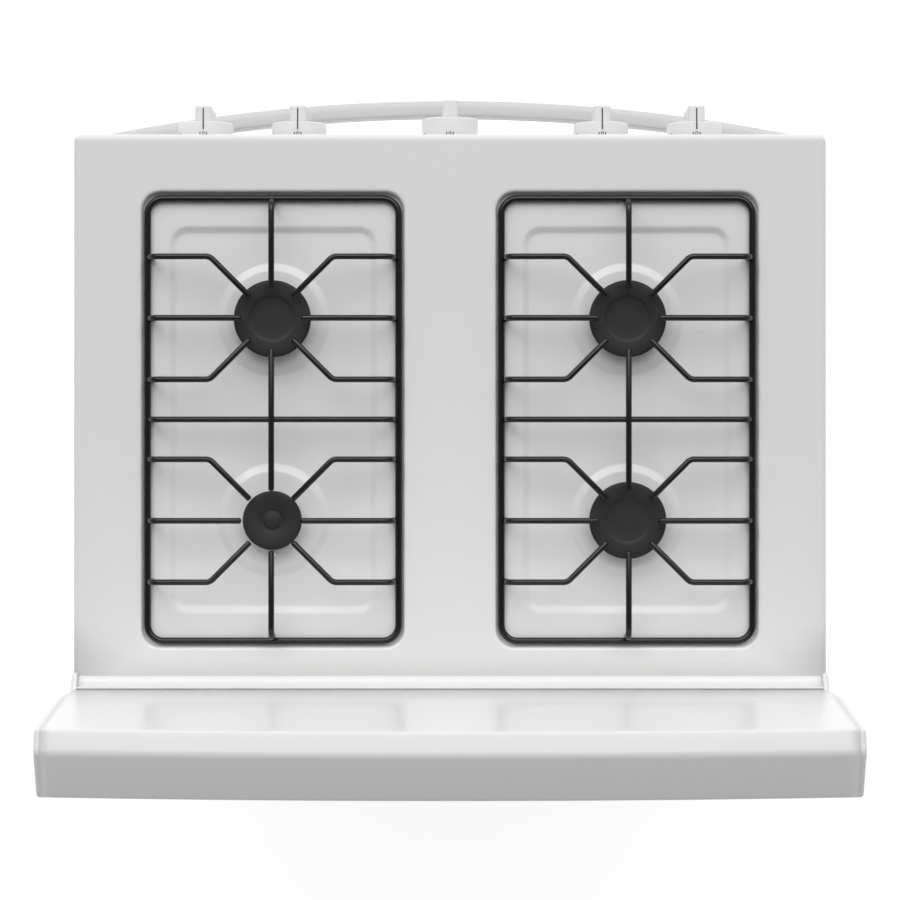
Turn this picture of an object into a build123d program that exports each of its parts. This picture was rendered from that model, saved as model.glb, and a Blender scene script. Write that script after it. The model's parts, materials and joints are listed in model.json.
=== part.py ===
from build123d import *
import os
from math import asin, cos, degrees, radians, sin, sqrt

# Freestanding gas range, 30-inch class, in millimetres. The origin is on the floor under the middle of the
# whole range. +Z is up, +Y points to the wall behind it, +X is to the right of a cook who stands in front.

os.makedirs("parts", exist_ok=True)

# ---- Driving dimensions ----
WIDTH = 759.0  # cooktop, side to side
COOKTOP_Z = 914.0  # cooking surface above the floor
FRONT_Y = -291.25  # front edge of the cooktop
REAR_Y = 345.75  # back of the backguard
HANDLE_Y = -345.75  # outermost point of the door handle
DOOR_FACE_Y = -296.0  # front faces of the door and the drawer
FRAME_Y = -250.0  # front face of the front frame
CLEARANCE = 0.3  # between parts that touch face to face on different bodies
SHEET = 1.2  # body sheet metal
HALF = WIDTH / 2

# Burners, in pairs about the middle of each grate
BURNER_X = 178.5
GRATE_Y = -3.35
BURNER_PITCH = 202.6
LARGE_CAP_R = 38.7
SMALL_CAP_R = 29.7

# Cooktop stamping
COOKTOP_SHEET = 1.5
SKIRT = 28.0
COOKTOP_REAR_Y = 266.0
RECESS_SIZE = (270.0, 465.0)
RECESS_DEPTH = 9.0
PAN_SIZE = (213.0, 394.0)
PAN_DEPTH = 13.0
BOSS_FOOT_R = 58.0
BOSS_TOP_R = 48.0
BURNER_HOLE_R = 23.0

# Side shell
SHELL_X = 377.5
SHELL_REAR_Y = 333.7
SHELL_BOTTOM_Z = 20.0
SHELL_TOP_Z = COOKTOP_Z - SKIRT - 2.0
FLANGE = 18.0

# Oven cavity
OVEN_X = 280.0
OVEN_BOTTOM_Z = 301.0
OVEN_TOP_Z = 721.0
OVEN_BACK_Y = 212.0
INSULATION = 38.0
RACK_RUNG_Z = (390.0, 535.0)

# Door, drawer and control panel
DOOR_X = 377.0
DOOR_Z = (238.0, 778.0)
DOOR_DEPTH = 34.0
DOOR_BACK_Y = DOOR_FACE_Y + DOOR_DEPTH
PLUG_X = 262.0
PLUG_Z = (305.0, 705.0)
PIVOT_Y = -275.0
PIVOT_Z = 253.5
HINGE_X = 300.0
BRACKET_TOP_Z = PIVOT_Z + 110.0
WINDOW = (440.0, 220.0)
WINDOW_Z = 500.0
INNER_WINDOW = (360.0, 170.0)
DRAWER_Z = (66.0, 226.0)
DRAWER_BOX_X = 335.0
DRAWER_BOX_REAR_Y = 200.0
DRAWER_BOX_Z = (72.0, 190.0)
PANEL_Y = -289.0
PANEL_Z = (790.0, COOKTOP_Z - SKIRT - 0.5)

# Knobs and gas train
KNOB_Z = 840.0
KNOB_X = {"left_front": -253.0, "left_rear": -156.2, "oven": 0.0, "right_rear": 156.2, "right_front": 253.0}
KNOB_BACK_Y = -293.0
STEM_R = 3.0
PIPE_R = 10.7
MANIFOLD_Y = -226.0
PIPE_X = 336.0
VALVE_Y = (-262.0, MANIFOLD_Y - PIPE_R)

# Backguard profile where it meets the end caps, as (Y, Z), and the rise of its arch at the middle
ARCH_RISE = 25.0
CAP_THICKNESS = 5.5
GUARD_FACE_Y = COOKTOP_REAR_Y + 0.3
GUARD_PROFILE = [
    (GUARD_FACE_Y, 850.0),
    (GUARD_FACE_Y, 1030.0),
    (281.2, 1155.0),
    (302.5, 1160.5),
    (REAR_Y, 1142.0),
]


# ---- Shared steps ----
def write(piece, name):
    """Label a finished piece and write it to its own file."""
    piece.part.label = name
    export_step(piece.part, f"parts/{name}.step")


def span_box(x, y, z, mode=Mode.ADD):
    """Add a box given by its two limits along each axis to the part being built."""
    middle = tuple((low + high) / 2 for low, high in (x, y, z))
    size = tuple(high - low for low, high in (x, y, z))
    with Locations(middle):
        Box(*size, mode=mode)


def front_view(y, centre=(0, 0)):
    """The upright plane at y that faces the front, with its origin at an (X, Z) centre."""
    return Plane(origin=(centre[0], y, centre[1]), x_dir=(1, 0, 0), z_dir=(0, -1, 0))


def mirrored(*limits):
    """A low and high limit from two limits on either side of the range, in any order."""
    return tuple(sorted(limits))


def span_round(centre, radius, y, mode=Mode.ADD):
    """Add a round bar along Y, about an (X, Z) centre, to the part being built."""
    with BuildSketch(front_view(y[1], (centre[0], centre[1]))) as section:
        Circle(radius)
    extrude(section.sketch, amount=y[1] - y[0], mode=mode)


def rod(points, radius, bend=0.0):
    """Add round bar along straight runs joined by bends to the part being built."""
    with BuildLine() as path:
        if bend:
            FilletPolyline(*points, radius=bend)
        else:
            Polyline(*points)
    with BuildSketch(Plane(origin=path.line @ 0, z_dir=path.line % 0)) as section:
        Circle(radius)
    sweep(section.sketch, path=path.line)


def ring_rod(plane, centre, size, corner, radius):
    """Add a closed rounded rectangle of round bar, lying in a plane, to the part being built."""
    with BuildSketch(plane) as outline:
        with Locations(centre):
            RectangleRounded(*size, corner)
    path = outline.sketch.face().outer_wire()
    with BuildSketch(Plane(origin=path @ 0, z_dir=path % 0)) as section:
        Circle(radius)
    sweep(section.sketch, path=path)


# ---- Chassis ----
SCREW_Z = (80.0, 330.0, 580.0, 830.0)
SCREW_X = SHELL_X - FLANGE / 2 - 1.0
SCREW_HOLE_R = 2.3
SCREW_SHANK_R = 2.0
SCREW_HEAD_R = 4.2
SCREW_HEAD = 2.6
SCREW_LENGTH = 6.0
SHELL_FRONT_Y = FRAME_Y + 3.2


def side_panel(side, name):
    """One side of the shell: a sheet with a flange turned inward at its front and at its back."""
    wide = mirrored(side * SHELL_X, side * (SHELL_X - SHEET))
    flange = mirrored(side * SHELL_X, side * (SHELL_X - FLANGE))
    height = (SHELL_BOTTOM_Z, SHELL_TOP_Z)
    through = (SHELL_REAR_Y - 5, SHELL_REAR_Y + 5)
    with BuildPart() as panel:
        span_box(wide, (SHELL_FRONT_Y, SHELL_REAR_Y), height)
        span_box(flange, (SHELL_FRONT_Y, SHELL_FRONT_Y + SHEET), height)
        span_box(flange, (SHELL_REAR_Y - SHEET, SHELL_REAR_Y), height)
        for z in SCREW_Z:
            span_round((side * SCREW_X, z), SCREW_HOLE_R, through, Mode.SUBTRACT)
    write(panel, name)


side_panel(-1, "side_panel_left")
side_panel(1, "side_panel_right")

REAR_PANEL_Y = (SHELL_REAR_Y + 0.1, SHELL_REAR_Y + 0.1 + SHEET)
REAR_PANEL_X = SHELL_X - 3.0
INLET_CUTOUT_R = 34.0
VENT_SLOT = (60.0, 5.0)
VENT_Z = 800.0
CORD_HOLE = (-300.0, 120.0)  # X and Z
CORD_HOLE_R = 11.0
CORD_R = 4.5
REAR_PANEL_BOTTOM_Z = 46.0
with BuildPart() as rear_panel:
    span_box((-REAR_PANEL_X, REAR_PANEL_X), REAR_PANEL_Y, (REAR_PANEL_BOTTOM_Z, SHELL_TOP_Z))
    through = (REAR_PANEL_Y[0] - 5, REAR_PANEL_Y[1] + 5)
    span_round((PIPE_X, KNOB_Z), INLET_CUTOUT_R, through, Mode.SUBTRACT)
    span_round(CORD_HOLE, CORD_HOLE_R, through, Mode.SUBTRACT)
    for side in (-1, 1):
        for z in SCREW_Z:
            span_round((side * SCREW_X, z), SCREW_HOLE_R, through, Mode.SUBTRACT)
    with BuildSketch(front_view(through[1], (0, VENT_Z))):
        with GridLocations(90.0, 16.0, 5, 4):
            SlotOverall(*VENT_SLOT)
    extrude(amount=through[1] - through[0], mode=Mode.SUBTRACT)
write(rear_panel, "rear_panel")

with BuildPart() as cord_grommet:
    lip = 3.0
    span_round(CORD_HOLE, CORD_HOLE_R - 0.2, (REAR_PANEL_Y[0] - lip, REAR_PANEL_Y[1] + lip))
    span_round(CORD_HOLE, CORD_HOLE_R + 4, (REAR_PANEL_Y[1] + 0.1, REAR_PANEL_Y[1] + lip))
    span_round(CORD_HOLE, CORD_HOLE_R + 3, (REAR_PANEL_Y[0] - lip, REAR_PANEL_Y[0] - 0.1))
    span_round(CORD_HOLE, CORD_R, (REAR_PANEL_Y[0] - 9, REAR_PANEL_Y[1] + 9), Mode.SUBTRACT)
write(cord_grommet, "power_cord_grommet")

with BuildPart() as chassis_screws:
    head_y = REAR_PANEL_Y[1] + 0.1
    for side in (-1, 1):
        for z in SCREW_Z:
            span_round((side * SCREW_X, z), SCREW_HEAD_R, (head_y, head_y + SCREW_HEAD))
            span_round((side * SCREW_X, z), SCREW_SHANK_R, (head_y - SCREW_LENGTH, head_y + 1))
write(chassis_screws, "chassis_screws")

RAIL_X = SHELL_X - SHEET - 0.5
RAIL = 34.0
RAIL_SHEET = 2.0
RAIL_Z = (SHELL_BOTTOM_Z, 45.0)
BASE_Y = (-238.0, SHELL_REAR_Y - SHEET - 0.5)
FOOT_X = 345.0
FOOT_Y = (-205.0, 300.0)
FOOT_PAD_R = 17.0
FOOT_PAD = 9.0
FOOT_STEM_R = 5.0
FOOT_HEIGHT = 53.0
FOOT_PLATE = (52.0, 6.0)  # depth and thickness of the plate that each foot screws into
with BuildPart() as base_frame:
    span_box((-RAIL_X, RAIL_X), BASE_Y, RAIL_Z)
    inside_x, inside_y = RAIL_X - RAIL, (BASE_Y[0] + RAIL, BASE_Y[1] - RAIL)
    span_box((-inside_x, inside_x), inside_y, (RAIL_Z[0] - 1, RAIL_Z[1] + 1), Mode.SUBTRACT)
    inner_x, inner_y = RAIL_X - RAIL_SHEET, (BASE_Y[0] + RAIL_SHEET, BASE_Y[1] - RAIL_SHEET)
    span_box((-inner_x, inner_x), inner_y, (RAIL_Z[0] - 1, RAIL_Z[1] - RAIL_SHEET), Mode.SUBTRACT)
    for side in (-1, 1):
        for y in FOOT_Y:
            plate_x = mirrored(side * inner_x, side * (inside_x - 10))
            plate_y = (y - FOOT_PLATE[0] / 2, y + FOOT_PLATE[0] / 2)
            span_box(plate_x, plate_y, (RAIL_Z[1] - FOOT_PLATE[1], RAIL_Z[1]))
            with Locations((side * FOOT_X, y, RAIL_Z[1])):
                Cylinder(FOOT_STEM_R + 0.2, 30, mode=Mode.SUBTRACT)
write(base_frame, "base_frame")

with BuildPart() as leveling_feet:
    for side in (-1, 1):
        for y in FOOT_Y:
            with Locations((side * FOOT_X, y, FOOT_PAD / 2)):
                Cylinder(FOOT_PAD_R, FOOT_PAD)
            with Locations((side * FOOT_X, y, FOOT_HEIGHT / 2)):
                Cylinder(FOOT_STEM_R, FOOT_HEIGHT)
write(leveling_feet, "leveling_feet")

FRAME_X = SHELL_X - 1.0
FRAME_THICK = 2.0
DRAWER_HOLE_X = 348.0
DRAWER_HOLE_Z = (58.0, 224.0)
VALVE_HOLE_X = 330.0
VALVE_HOLE_Z = (800.0, 872.0)
HINGE_SLOT = (9.0, 18.0)  # width and height
with BuildPart() as front_frame:
    plate_y = (FRAME_Y, FRAME_Y + FRAME_THICK)
    through = (FRAME_Y - 10, FRAME_Y + 10)
    span_box((-FRAME_X, FRAME_X), plate_y, (RAIL_Z[1] + 0.5, SHELL_TOP_Z))
    span_box((-OVEN_X - 1, OVEN_X + 1), through, (OVEN_BOTTOM_Z - 1, OVEN_TOP_Z + 1), Mode.SUBTRACT)
    span_box((-DRAWER_HOLE_X, DRAWER_HOLE_X), through, DRAWER_HOLE_Z, Mode.SUBTRACT)
    span_box((-VALVE_HOLE_X, VALVE_HOLE_X), through, VALVE_HOLE_Z, Mode.SUBTRACT)
    for side in (-1, 1):
        with Locations((side * HINGE_X, FRAME_Y, PIVOT_Z)):
            Box(HINGE_SLOT[0], 20.0, HINGE_SLOT[1], mode=Mode.SUBTRACT)
write(front_frame, "front_frame")

# ---- Oven ----
LINER_FRONT_Y = FRAME_Y + FRAME_THICK + 0.2
LINER_X = OVEN_X + SHEET
LINER_Z = (OVEN_BOTTOM_Z - 40.0, OVEN_TOP_Z + SHEET)
with BuildPart() as oven_wrapper:
    span_box((-LINER_X, LINER_X), (LINER_FRONT_Y, OVEN_BACK_Y), LINER_Z)
    tunnel_y, tunnel_z = (LINER_FRONT_Y - 1, OVEN_BACK_Y + 1), (LINER_Z[0] - 1, OVEN_TOP_Z)
    span_box((-OVEN_X, OVEN_X), tunnel_y, tunnel_z, Mode.SUBTRACT)
write(oven_wrapper, "oven_wrapper")

with BuildPart() as oven_back_wall:
    span_box((-LINER_X, LINER_X), (OVEN_BACK_Y + 0.1, OVEN_BACK_Y + 0.1 + SHEET), LINER_Z)
write(oven_back_wall, "oven_back_wall")

FLOOR_SLOT = (60.0, 9.0)
with BuildPart() as oven_floor_panel:
    floor_x, floor_y = OVEN_X - 1.0, (LINER_FRONT_Y + 1, OVEN_BACK_Y - 1)
    span_box((-floor_x, floor_x), floor_y, (OVEN_BOTTOM_Z - SHEET, OVEN_BOTTOM_Z))
    with BuildSketch(Plane.XY.offset(OVEN_BOTTOM_Z)):
        with Locations((0, sum(floor_y) / 2)):
            with GridLocations(2 * (OVEN_X - 22), 76.0, 2, 5):
                SlotOverall(*FLOOR_SLOT, rotation=90)
    extrude(amount=-2 * SHEET, mode=Mode.SUBTRACT)
write(oven_floor_panel, "oven_floor_panel")

BLANKET_BOTTOM_Z = OVEN_BOTTOM_Z - 30.0
with BuildPart() as oven_insulation:
    inner_x, inner_z = LINER_X + CLEARANCE, LINER_Z[1] + CLEARANCE
    outer_x, outer_z = inner_x + INSULATION, inner_z + INSULATION
    span_box((-outer_x, outer_x), (LINER_FRONT_Y + 1, OVEN_BACK_Y), (BLANKET_BOTTOM_Z, outer_z))
    hollow = (LINER_FRONT_Y, OVEN_BACK_Y + 1), (BLANKET_BOTTOM_Z - 1, inner_z)
    span_box((-inner_x, inner_x), *hollow, Mode.SUBTRACT)
write(oven_insulation, "oven_insulation")

RUNG_R = 2.5
RUNG_X = OVEN_X - 7.0
SPARE_RUNG_Z = (460.0, 610.0)
UPRIGHT_Y = (-190.0, 150.0)
with BuildPart() as rack_guides:
    for side in (-1, 1):
        upright_x, rung_x = side * (OVEN_X - RUNG_R - CLEARANCE), side * RUNG_X
        for y in UPRIGHT_Y:
            rod([(upright_x, y, OVEN_BOTTOM_Z + 6), (upright_x, y, OVEN_TOP_Z - 20)], RUNG_R)
        for z in (*RACK_RUNG_Z, *SPARE_RUNG_Z):
            rod([(rung_x, -222.0, z), (rung_x, OVEN_BACK_Y - 6, z)], RUNG_R)
write(rack_guides, "rack_guides")

RACK_ROD_R = 3.0
RACK_WIRE_R = 1.8
RACK_WIRE_RISE = 2.3
RACK_WIRES = 15
RACK_CORNER = 14.0
RACK_Y = (-214.0, 207.0)


def oven_rack(rung_z, name):
    """A wire rack: a rod frame, two cross rods and a row of thin wires welded on top."""
    half_x, z = RUNG_X - 1.5, rung_z + RUNG_R + RACK_ROD_R + CLEARANCE
    middle_y, half_y = sum(RACK_Y) / 2, (RACK_Y[1] - RACK_Y[0]) / 2
    wire_pitch = 2 * half_x / (RACK_WIRES + 1)
    wire_z = z + RACK_WIRE_RISE
    with BuildPart() as rack:
        ring_rod(Plane.XY.offset(z), (0, middle_y), (2 * half_x, 2 * half_y), RACK_CORNER, RACK_ROD_R)
        for y in (middle_y - 70, middle_y + 70):
            rod([(-half_x + 1, y, z), (half_x - 1, y, z)], RACK_ROD_R - 0.5)
        for index in range(1, RACK_WIRES + 1):
            x = -half_x + index * wire_pitch
            rod([(x, RACK_Y[0] + 0.4, wire_z), (x, RACK_Y[1] - 0.4, wire_z)], RACK_WIRE_R)
    write(rack, name)


oven_rack(RACK_RUNG_Z[0], "oven_rack_lower")
oven_rack(RACK_RUNG_Z[1], "oven_rack_upper")

OVEN_BURNER_Z = 266.0
OVEN_BURNER_R = 11.0
OVEN_BURNER_Y = (-225.0, 190.0)
OVEN_BURNER_WALL = 1.5
PORT_R = 1.5
PORT_PITCH = 36
with BuildPart() as oven_burner_tube:
    bore_r = OVEN_BURNER_R - OVEN_BURNER_WALL
    bore_y = (OVEN_BURNER_Y[0] - 1, OVEN_BURNER_Y[1] - 2 * OVEN_BURNER_WALL)
    span_round((0, OVEN_BURNER_Z), OVEN_BURNER_R, OVEN_BURNER_Y)
    span_round((0, OVEN_BURNER_Z), bore_r, bore_y, Mode.SUBTRACT)
    for y in range(-5 * PORT_PITCH, 6 * PORT_PITCH, PORT_PITCH):
        with Locations((0, y, OVEN_BURNER_Z)):
            Cylinder(PORT_R, 40, rotation=(0, 90, 0), mode=Mode.SUBTRACT)
write(oven_burner_tube, "oven_burner_tube")

SPREADER_PROFILE = [(-120, 282), (-100, 288), (100, 288), (120, 282)]  # X and Z
SPREADER_LENGTH = 340.0
with BuildPart() as flame_spreader:
    with BuildSketch(Plane.XZ.offset(-SPREADER_LENGTH / 2)):
        with BuildLine():
            Polyline(*SPREADER_PROFILE)
            offset(amount=SHEET, side=Side.RIGHT)
        make_face()
    extrude(amount=SPREADER_LENGTH)
write(flame_spreader, "flame_spreader")

with BuildPart() as oven_igniter:
    span_box((16, 30), (60, 130), (258, 274))
    span_box((18, 28), (40, 60), (260, 272))
write(oven_igniter, "oven_igniter")

GASKET_R = 4.4
GASKET_MARGIN = 10.0
with BuildPart() as oven_gasket:
    gasket_plane = Plane.XZ.offset(-FRAME_Y + GASKET_R + 0.2)
    mouth = (2 * (OVEN_X + GASKET_MARGIN), OVEN_TOP_Z - OVEN_BOTTOM_Z + 2 * GASKET_MARGIN)
    ring_rod(gasket_plane, (0, (OVEN_TOP_Z + OVEN_BOTTOM_Z) / 2), mouth, 22.0, GASKET_R)
write(oven_gasket, "oven_gasket")

# ---- Oven door ----
DOOR_SHEET = 1.5
DOOR_ROUND = 6.0  # on the front edges of the door and the drawer
WINDOW_GAP = 0.4
NOTCH = (18.0, 11.0)  # width, and reach above the hinge pin


def hinge_notches():
    """Cut the two notches that clear the hinge arms, from the door's lower edge up."""
    for side in (-1, 1):
        notch = (side * HINGE_X - NOTCH[0] / 2, side * HINGE_X + NOTCH[0] / 2)
        span_box(notch, (PIVOT_Y - 10, FRAME_Y), (DOOR_Z[0] - 1, PIVOT_Z + NOTCH[1]), Mode.SUBTRACT)


with BuildPart() as door_outer_panel:
    span_box((-DOOR_X, DOOR_X), (DOOR_FACE_Y, DOOR_BACK_Y - 0.1), DOOR_Z)
    fillet(door_outer_panel.faces().sort_by(Axis.Y)[0].edges(), DOOR_ROUND)
    with BuildSketch(front_view(DOOR_BACK_Y, (0, sum(DOOR_Z) / 2))):
        hollow_z = DOOR_Z[1] - DOOR_Z[0] - 2 * DOOR_SHEET
        RectangleRounded(2 * (DOOR_X - DOOR_SHEET), hollow_z, DOOR_ROUND - 1)
    extrude(amount=DOOR_DEPTH - DOOR_SHEET, mode=Mode.SUBTRACT)
    half_w, half_h = WINDOW[0] / 2 + WINDOW_GAP, WINDOW[1] / 2 + WINDOW_GAP
    window_z = (WINDOW_Z - half_h, WINDOW_Z + half_h)
    span_box((-half_w, half_w), (DOOR_FACE_Y - 5, DOOR_FACE_Y + 5), window_z, Mode.SUBTRACT)
    hinge_notches()
write(door_outer_panel, "door_outer_panel")


def window_pane(size, y, name):
    """A flat pane of glass, upright in the door."""
    with BuildPart() as pane:
        with BuildSketch(front_view(y[1], (0, WINDOW_Z))):
            Rectangle(*size)
        extrude(amount=y[1] - y[0])
    write(pane, name)


INNER_PLATE_Y = (DOOR_BACK_Y, DOOR_BACK_Y + SHEET)
PLUG_Y = FRAME_Y - 2.0
PANE = 4.0
PANE_LAP = 10.0
OUTER_PANE_Y = DOOR_FACE_Y + CLEARANCE
INNER_PANE_Y = PLUG_Y - SHEET - CLEARANCE
window_pane(WINDOW, (OUTER_PANE_Y, OUTER_PANE_Y + PANE), "door_window")
window_pane(INNER_WINDOW, (INNER_PANE_Y - PANE, INNER_PANE_Y), "door_inner_window")

with BuildPart() as door_inner_panel:
    plate_x, plate_z = DOOR_X - 4.0, (DOOR_Z[0] + 3.0, DOOR_Z[1] - 3.0)
    span_box((-plate_x, plate_x), INNER_PLATE_Y, plate_z)
    span_box((-PLUG_X, PLUG_X), (INNER_PLATE_Y[0], PLUG_Y), PLUG_Z)
    fillet(door_inner_panel.faces().sort_by(Axis.Y)[-1].edges(), 4.0)
    pocket_z = (PLUG_Z[0] + SHEET, PLUG_Z[1] - SHEET)
    pocket_x = PLUG_X - SHEET
    span_box((-pocket_x, pocket_x), (INNER_PLATE_Y[0] - 1, PLUG_Y - SHEET), pocket_z, Mode.SUBTRACT)
    half_w, half_h = INNER_WINDOW[0] / 2 - PANE_LAP, INNER_WINDOW[1] / 2 - PANE_LAP
    sight_z = (WINDOW_Z - half_h, WINDOW_Z + half_h)
    span_box((-half_w, half_w), (PLUG_Y - 5, PLUG_Y + 5), sight_z, Mode.SUBTRACT)
    hinge_notches()
write(door_inner_panel, "door_inner_panel")

with BuildPart() as door_insulation:
    blanket_x, blanket_z = DOOR_X - 20.0, (DOOR_Z[0] + 45.0, DOOR_Z[1] - 20.0)
    span_box((-blanket_x, blanket_x), (DOOR_FACE_Y + 6, DOOR_BACK_Y - 1), blanket_z)
    tunnel_z = (WINDOW_Z - WINDOW[1] / 2 - 2, WINDOW_Z + WINDOW[1] / 2 + 2)
    tunnel_x = WINDOW[0] / 2 + 2
    span_box((-tunnel_x, tunnel_x), (DOOR_FACE_Y, DOOR_BACK_Y), tunnel_z, Mode.SUBTRACT)
    for side in (-1, 1):
        pocket = (side * HINGE_X - 8, side * HINGE_X + 8)
        span_box(pocket, (DOOR_FACE_Y, DOOR_BACK_Y), (DOOR_Z[0], BRACKET_TOP_Z + 3), Mode.SUBTRACT)
write(door_insulation, "door_insulation")

HANDLE_Z = (740.0, 768.0)
HANDLE_THICK = 17.4
HANDLE_X = 372.0
HANDLE_R = 1870.0
HANDLE_ROUND = 6.0
HANDLE_PAD_Y = DOOR_FACE_Y - 0.1


def bow_y(front_y, radius, x):
    """Y of a bow that bulges forward to front_y at the middle."""
    return front_y + radius - sqrt(radius**2 - x**2)


with BuildPart() as door_handle:
    inner_front, inner_r = HANDLE_Y + HANDLE_THICK, HANDLE_R - HANDLE_THICK
    inner_x = sqrt(inner_r**2 - (inner_front + inner_r - HANDLE_PAD_Y) ** 2)
    outer_end = bow_y(HANDLE_Y, HANDLE_R, HANDLE_X)
    with BuildSketch(Plane.XY.offset(HANDLE_Z[0])):
        with BuildLine():
            ThreePointArc((-HANDLE_X, outer_end), (0, HANDLE_Y), (HANDLE_X, outer_end))
            Polyline((HANDLE_X, outer_end), (HANDLE_X, HANDLE_PAD_Y), (inner_x, HANDLE_PAD_Y))
            ThreePointArc((inner_x, HANDLE_PAD_Y), (0, inner_front), (-inner_x, HANDLE_PAD_Y))
            Polyline((-inner_x, HANDLE_PAD_Y), (-HANDLE_X, HANDLE_PAD_Y), (-HANDLE_X, outer_end))
        make_face()
    extrude(amount=HANDLE_Z[1] - HANDLE_Z[0])
    bow_faces = door_handle.faces().filter_by(GeomType.CYLINDER).sort_by(Axis.Y)
    fillet(bow_faces[0].edges().filter_by(GeomType.CIRCLE), HANDLE_ROUND)
write(door_handle, "door_handle")

HINGE_THICK = 6.0
ARM_HALF = 7.0
ARM_LENGTH = 85.0
PIN_R = 3.0
with BuildPart() as hinge_arms:
    for side in (-1, 1):
        with BuildSketch(Plane.YZ.offset(side * HINGE_X - HINGE_THICK / 2)):
            with Locations((PIVOT_Y, PIVOT_Z)):
                Circle(ARM_HALF)
            with Locations((PIVOT_Y + ARM_LENGTH / 2, PIVOT_Z)):
                Rectangle(ARM_LENGTH, 2 * ARM_HALF)
            with Locations((PIVOT_Y, PIVOT_Z)):
                Circle(PIN_R + 0.1, mode=Mode.SUBTRACT)
        extrude(amount=HINGE_THICK)
write(hinge_arms, "hinge_arms")

BRACKET_GAP = 0.6
BRACKET_SHEET = 2.0
with BuildPart() as hinge_brackets:
    half_gap = HINGE_THICK / 2 + BRACKET_GAP
    rear_y = DOOR_BACK_Y - 1.0
    for side in (-1, 1):
        x = side * HINGE_X
        for cheek in (-1, 1):
            cheek_x = mirrored(x + cheek * half_gap, x + cheek * (half_gap + BRACKET_SHEET))
            span_box(cheek_x, (PIVOT_Y - 9, rear_y), (DOOR_Z[0] + 4, BRACKET_TOP_Z))
        bridge_x = (x - half_gap, x + half_gap)
        span_box(bridge_x, (rear_y - BRACKET_SHEET, rear_y), (PIVOT_Z + 14, BRACKET_TOP_Z))
        with Locations((x, PIVOT_Y, PIVOT_Z)):
            Cylinder(PIN_R, 2 * half_gap + 1.5 * BRACKET_SHEET, rotation=(0, 90, 0))
write(hinge_brackets, "door_hinge_brackets")

# ---- Storage drawer ----
DRAWER_FRONT_REAR_Y = -268.0
with BuildPart() as drawer_front:
    span_box((-DOOR_X, DOOR_X), (DOOR_FACE_Y, DRAWER_FRONT_REAR_Y), DRAWER_Z)
    fillet(drawer_front.faces().sort_by(Axis.Y)[0].edges(), DOOR_ROUND)
    with BuildSketch(front_view(DRAWER_FRONT_REAR_Y, (0, sum(DRAWER_Z) / 2))):
        hollow_z = DRAWER_Z[1] - DRAWER_Z[0] - 2 * DOOR_SHEET
        RectangleRounded(2 * (DOOR_X - DOOR_SHEET), hollow_z, DOOR_ROUND - 1)
    extrude(amount=DRAWER_FRONT_REAR_Y - DOOR_FACE_Y - DOOR_SHEET, mode=Mode.SUBTRACT)
write(drawer_front, "drawer_front")

DRAWER_FLANGE = 9.0
with BuildPart() as drawer_box:
    box_y = (DRAWER_FRONT_REAR_Y + 0.2, DRAWER_BOX_REAR_Y)
    span_box((-DRAWER_BOX_X, DRAWER_BOX_X), box_y, DRAWER_BOX_Z)
    flange_x, flange_y = DRAWER_BOX_X + DRAWER_FLANGE, (box_y[0] + 20, box_y[1])
    span_box((-flange_x, flange_x), flange_y, (DRAWER_BOX_Z[1] - SHEET, DRAWER_BOX_Z[1]))
    hollow_x, hollow_y = DRAWER_BOX_X - SHEET, (box_y[0] + SHEET, box_y[1] - SHEET)
    hollow_z = (DRAWER_BOX_Z[0] + SHEET, DRAWER_BOX_Z[1] + 1)
    span_box((-hollow_x, hollow_x), hollow_y, hollow_z, Mode.SUBTRACT)
write(drawer_box, "drawer_box")

SLIDE_SHEET = 1.5
SLIDE_X = (DRAWER_BOX_X + 1.5, DRAWER_BOX_X + 14.0)
SLIDE_DROP = 26.0
SLIDE_Y = (FRAME_Y + FRAME_THICK + CLEARANCE, 260.0)
with BuildPart() as drawer_rails:
    shelf_z = DRAWER_BOX_Z[1] - SHEET - CLEARANCE
    for side in (-1, 1):
        shelf = mirrored(side * SLIDE_X[0], side * SLIDE_X[1])
        web = mirrored(side * (SLIDE_X[1] - SLIDE_SHEET), side * SLIDE_X[1])
        span_box(shelf, SLIDE_Y, (shelf_z - SLIDE_SHEET, shelf_z))
        span_box(web, SLIDE_Y, (shelf_z - SLIDE_DROP, shelf_z))
write(drawer_rails, "drawer_rails")

# ---- Cooktop ----
COOKTOP_ROUND = 5.5
COOKTOP_CORNER = 8.0
REAR_LIP = 20.0
RECESS_CORNER = 22.0
PAN_CORNER = 20.0
ELECTRODE_OFFSET = 34.0
ELECTRODE_HOLE_R = 3.5


def sunken_rectangle(x, z, size, corner, depth, mode):
    """Add or cut a rounded rectangle under one grate, from a height down, in the part being built."""
    with BuildSketch(Plane.XY.offset(z)) as outline:
        with Locations((x, GRATE_Y)):
            RectangleRounded(*size, corner)
    extrude(outline.sketch, amount=-depth, mode=mode)


def basin(x):
    """Press one stepped basin into the cooktop being built: a shallow ledge and a deeper pan inside it."""
    step, step_z = PAN_DEPTH - RECESS_DEPTH, COOKTOP_Z - RECESS_DEPTH
    levels = [
        (COOKTOP_Z, RECESS_SIZE, RECESS_CORNER, RECESS_DEPTH),
        (step_z, PAN_SIZE, PAN_CORNER, step),
    ]
    for z, size, corner, depth in levels:
        outer = (size[0] + 2 * COOKTOP_SHEET, size[1] + 2 * COOKTOP_SHEET)
        sunken_rectangle(x, z, outer, corner + COOKTOP_SHEET, depth + COOKTOP_SHEET, Mode.ADD)
    for z, size, corner, depth in levels:
        sunken_rectangle(x, z, size, corner, depth, Mode.SUBTRACT)


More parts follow.
